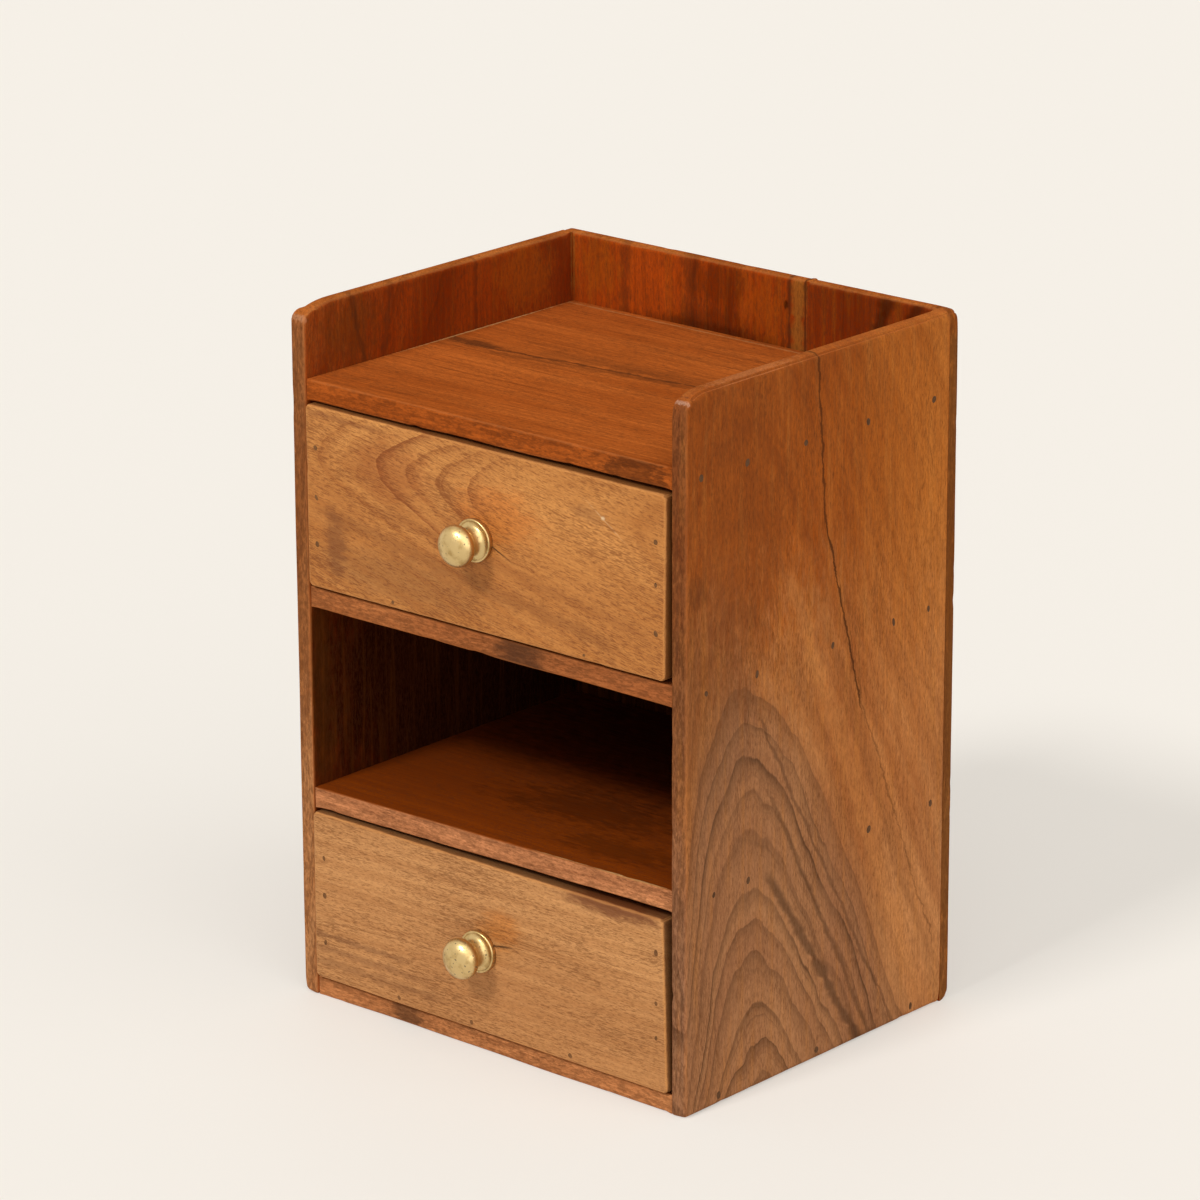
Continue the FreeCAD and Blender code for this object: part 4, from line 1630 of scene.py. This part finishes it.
    def shelves(self) -> list[CrossBoard]:
        """Describes the shelves and the base board, each with its own tones, edge, figure and marks.

        Returns:
            The boards.
        """
        stain = srgb(58, 40, 30)
        rows = (
            ("upper_shelf", srgb(166, 98, 52), srgb(146, 80, 40), srgb(200, 126, 74), 16, 140, (
                Spot(18, -83, 16, 12, stain, share=0.7, ragged=1.6, face=FRONT, seed=2),
            )),
            ("lower_shelf", srgb(140, 62, 8), srgb(124, 52, 6), srgb(228, 156, 104), 17, -160, (
                Streak(-81.4, 52, 100, GLUE_AND_GLINT, share=0.8, stray=1.6, width=0.8, face=HIGH, seed=2),
                Streak(-81.2, 20, 60, GLUE_AND_GLINT, share=0.5, stray=1.4, width=0.5, face=HIGH, seed=3),
                Spot(10, -30, 60, 24, DARK_VARNISH_AND_SHADE, share=0.4, ragged=2.4, face=HIGH, seed=5),
                Spot(50, -60, 40, 14, DARK_VARNISH_AND_SHADE, share=0.35, ragged=2.4, face=HIGH, seed=6),
            )),
            # The base board's pale front edge is partly its own tone and partly painted light bounced up from
            # the floor.
            ("base_board", srgb(170, 100, 50), srgb(148, 82, 38), srgb(228, 156, 100), 18, 150, (
                Spot(-47, -83, 10, 12, stain, share=0.6, ragged=1.8, face=FRONT, seed=2),
            )),
        )
        speckle = Spot(0, -82.6, 300, 1.2, srgb(84, 50, 30), share=0.4, ragged=4, grit=2, face=FRONT)
        # Painted shade over the rear of each shelf's top, deep inside the cabinet where little light reaches.
        shade = Spot(40, 60, 200, 100, DARK_VARNISH_AND_SHADE, share=0.8, ragged=0.8, face=HIGH)
        return [
            CrossBoard(
                name, self.body, self.slot, finish=replace(TRAY_WOOD, pale=pale, deep=deep), seed=seed,
                figure=Figure(across, 60, taper=0.02, pitch=5, wobble=1.8, seed=seed),
                tints=(Spot(0, -83, 300, 12, edge, share=0.85, ragged=0.4, face=FRONT), shade),
                marks=(replace(speckle, seed=seed), *marks),
            )
            for name, pale, deep, edge, seed, across, marks in rows
        ]


SHADED_RIM = Spot(0, 0, 400, 200, srgb(60, 32, 16), share=0.65, ragged=0.2, face=RIM)


@dataclass
class Drawer(Assembly):
    """A drawer: its fitted front, box, knob with screw and washer, and brads."""

    body: Body
    finish: WoodFinish
    figure: Figure
    tints: tuple[Mark, ...]
    marks: tuple[Mark, ...]
    seed: int

    def named(self, part: str) -> str:
        """The node of one of the drawer's parts."""
        return f"{self.body.value}_{part}"

    def pieces(self) -> list[Board | Knob | BradMarks]:
        """Describes the front, the box, the knob and the brads.

        Returns:
            The pieces, in the order of their building.
        """
        front = DrawerFront(
            self.named("front"), self.body, Slot.FRONT_WOOD, finish=self.finish, figure=self.figure,
            tints=self.tints, marks=self.marks, seed=self.seed,
        )
        box = [
            BoxBoard(
                self.named(part), self.body, lay=lay, finish=BOX_WOOD, seed=seed,
                figure=Figure(80 + 15 * (seed - self.seed), 90, taper=0.02, pitch=4, seed=seed),
            )
            for seed, (part, lay) in enumerate((
                ("left_side", Lay.ON_EDGE_ALONG),
                ("right_side", Lay.ON_EDGE_ALONG),
                ("back", Lay.ON_EDGE_ACROSS),
                ("bottom", Lay.FLAT),
            ), start=self.seed + 1)
        ]
        knob = Knob(self.named("knob"), self.body, seed=self.seed)
        brads = [
            BradMarks(self.named(f"{part}_brads"), self.body, seed=self.seed)
            for part in ("front", "back", "bottom")
        ]
        return [front, *box, knob, *brads]

    def build(self) -> None:
        """Builds the pieces, and gives steel to the screw and the washer, which keep their own shape."""
        super().build()
        for part in ("knob_screw", "knob_washer"):
            materials = frame["nodes"][self.named(part)].data.materials
            materials.clear()
            materials.append(STEEL.material())
            LOG.info("%s: kept on %s", self.named(part), self.body.value)


def upper_drawer() -> Drawer:
    """Describes the upper drawer: arched growth rings, smudges, a scratch and a crack by the knob.

    Returns:
        The drawer.
    """
    return Drawer(
        Body.UPPER_DRAWER,
        replace(
            FRONT_WOOD, crowding=0.12, line=srgb(142, 72, 26), pore=srgb(116, 62, 28),
            pore_share=0.65, line_share=0.6,
        ),
        Figure(
            20, 11, taper=-0.35, pitch=5.9, offset=-1.12, crisp=0.3, shade=1.2, wobble=2.4, ripple=2.2,
            core=9.5, reach=36, edge=5, outer=0.25, full_to=-30, faint_from=20, slope=0.16, seed=2,
        ),
        (
            Spot(-45, -26, 64, 14, srgb(182, 134, 80), share=0.6, ragged=1, seed=4),
            Spot(8, 12, 30, 16, srgb(212, 120, 46), share=0.5, ragged=1.2),
            Spot(-48, 19, 28, 17, srgb(172, 98, 46), share=0.45, ragged=1.2, seed=3),
        ),
        (
            SHADED_RIM,
            Spot(-81, -18, 8, 17, srgb(104, 60, 34), share=0.55, ragged=1.6, seed=2),
            Streak(33, -100, -50, srgb(124, 68, 34), share=0.5, slope=-0.03, stray=5, width=1.6, seed=4),
            Streak(-19, -95, 75, srgb(128, 76, 36), share=0.4, slope=-0.157, stray=8, width=5),
            Streak(-8, -60, 90, srgb(140, 82, 38), share=0.3, slope=-0.157, stray=8, width=4, seed=3),
            Spot(58, 22, 13, 5, srgb(136, 88, 50), share=0.4, ragged=1.6, seed=5),
            Streak(65, 52, 80, srgb(226, 196, 150), share=0.4, slope=-0.67, stray=2, width=0.35),
            Spot(64.5, 22, 1.5, 1.0, srgb(232, 206, 164), share=0.6, ragged=1.4),
            Streak(1, -12, 20, DARK_VEIN, share=0.9, slope=-0.43, stray=1, width=0.6),
        ),
        21,
    )


def lower_drawer() -> Drawer:
    """Describes the lower drawer: straight grain, a dark wedge at the top and a crack by the knob.

    Returns:
        The drawer.
    """
    return Drawer(
        Body.LOWER_DRAWER,
        LOWER_FRONT_WOOD,
        Figure(160, 60, taper=0.02, pitch=2.4, wobble=1.2, seed=4),
        (Spot(8, 11, 15, 10, srgb(208, 122, 40), share=0.5, ragged=1.4),),
        (
            SHADED_RIM,
            Spot(68, 36, 36, 6.5, srgb(98, 46, 22), share=0.8, ragged=1.2),
            Streak(-17, -110, -40, srgb(112, 70, 42), share=0.5, stray=4, width=2),
            Streak(-23, -110, -30, srgb(112, 70, 42), share=0.4, stray=5, width=2.4, seed=4),
            Streak(-29, -110, -20, srgb(124, 80, 46), share=0.45, stray=4, width=3, seed=2),
            Streak(2, -12, 20, DARK_VEIN, share=0.9, slope=0.15, stray=1, width=0.6, seed=3),
        ),
        31,
    )


def seen_straight(nodes: Nodes) -> Socket:
    """Gives 1 for what the camera sees, straight or in a mirror, and 0 for light on a surface."""
    path = nodes.add("ShaderNodeLightPath")
    return nodes.math("MAXIMUM", path.outputs["Is Camera Ray"], path.outputs["Is Glossy Ray"])


@dataclass
class Studio:
    """A pale floor, soft lamps and the camera."""

    floor_half_size: float = 8.0
    floor_colour: Colour = srgb(242, 237, 229)
    azimuth: float = 41.314
    elevation: float = 17.990
    roll: float = -0.239
    distance: float = 2.138686
    target: tuple[float, float, float] = (0.061431, -0.08525, 0.2087)
    lens: float = 163.61
    clip_end: float = 100.0
    floor_roughness: float = 0.6
    glow_share: float = 0.45
    surround_colour: Colour = srgb(246, 242, 236)
    ambient: float = 0.42
    key_way: tuple[float, float, float] = (-0.05, -0.70, 0.71)
    key_spread: float = 12.0
    key_strength: float = 1.6
    fill_way: tuple[float, float, float] = (0.74, -0.28, 0.61)
    fill_spread: float = 80.0
    fill_strength: float = 1.6

    def floor(self) -> None:
        """Lays a flat pale floor, the grid (x, y, 0).

        It keeps its tone in soft shade, because part of what the camera sees is its own glow.
        """
        ends = np.linspace(-self.floor_half_size, self.floor_half_size, 3)
        x, y = np.meshgrid(ends, ends, indexing="ij")
        points = np.stack([x, y, np.zeros_like(x)], axis=-1).reshape(-1, 3)
        index = np.arange(x.size).reshape(x.shape)
        quads = np.stack([index[:-1, :-1], index[1:, :-1], index[1:, 1:], index[:-1, 1:]], axis=-1)
        mesh = bpy.data.meshes.new("floor")
        mesh.from_pydata(points.tolist(), [], quads.reshape(-1, 4).tolist())
        floor = bpy.data.objects.new("floor", mesh)
        bpy.context.scene.collection.objects.link(floor)
        material = bpy.data.materials.new("floor")
        material.use_nodes = True
        nodes = Nodes(material.node_tree)
        matt = nodes.add("ShaderNodeBsdfPrincipled")
        nodes.fill(matt, {"Base Color": self.floor_colour, "Roughness": self.floor_roughness})
        glow = nodes.add("ShaderNodeEmission", self.floor_colour)
        share = nodes.times(seen_straight(nodes), self.glow_share)
        blend = nodes.add("ShaderNodeMixShader", share, matt.outputs[0], glow.outputs[0])
        nodes.add("ShaderNodeOutputMaterial", blend.outputs[0])
        mesh.materials.append(material)

    @staticmethod
    def lamp(name: str, way: tuple[float, float, float], spread: float, strength: float) -> None:
        """Sets a far soft lamp, which lights the floor evenly.

        Args:
            name: The lamp's name.
            way: Which way it lies.
            spread: How wide it looks, in degrees.
            strength: Light on a surface that faces it.
        """
        data = bpy.data.lights.new(name, "SUN")
        data.angle = math.radians(spread)
        data.energy = strength
        lamp = bpy.data.objects.new(name, data)
        lamp.rotation_euler = Vector(way).to_track_quat("Z", "Y").to_euler()
        bpy.context.scene.collection.objects.link(lamp)

    def light(self) -> None:
        """Sets the lamps and an even pale surround."""
        self.lamp("key", self.key_way, self.key_spread, self.key_strength)
        self.lamp("fill", self.fill_way, self.fill_spread, self.fill_strength)
        world = bpy.data.worlds.new("surround")
        world.use_nodes = True
        nodes = Nodes(world.node_tree)
        strength = nodes.times_plus(seen_straight(nodes), 1 - self.ambient, self.ambient)
        sky = nodes.add("ShaderNodeBackground", self.surround_colour, strength)
        nodes.add("ShaderNodeOutputWorld", sky.outputs[0])
        bpy.context.scene.world = world

    def camera(self) -> None:
        """Stands the camera at its azimuth, elevation and distance from the target, with its roll."""
        azimuth, elevation, roll = np.radians([self.azimuth, self.elevation, self.roll]).tolist()
        level = math.cos(elevation)
        back = Vector((math.sin(azimuth) * level, -math.cos(azimuth) * level, math.sin(elevation)))
        right = Vector((math.cos(azimuth), math.sin(azimuth), 0))
        up = back.cross(right)
        across = right * math.cos(roll) + up * math.sin(roll)
        upward = up * math.cos(roll) - right * math.sin(roll)
        data = bpy.data.cameras.new("camera")
        data.lens = self.lens
        data.clip_end = self.clip_end
        camera = bpy.data.objects.new("camera", data)
        place = Vector(self.target) + back * self.distance
        columns = Matrix((across, upward, back)).transposed()
        camera.matrix_world = Matrix.Translation(place) @ columns.to_4x4()
        bpy.context.scene.collection.objects.link(camera)
        bpy.context.scene.camera = camera

    def build(self) -> None:
        """Sets up the whole studio."""
        self.floor()
        self.light()
        self.camera()
        bpy.context.scene.view_settings.view_transform = "Standard"


def main() -> None:
    """Builds the studio and the organizer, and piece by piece."""
    logging.basicConfig(level=logging.INFO, format="%(name)s %(message)s")
    Studio().build()
    for assembly in (Carcass(), upper_drawer(), lower_drawer()):
        assembly.build()


if __name__ == "__main__":
    main()
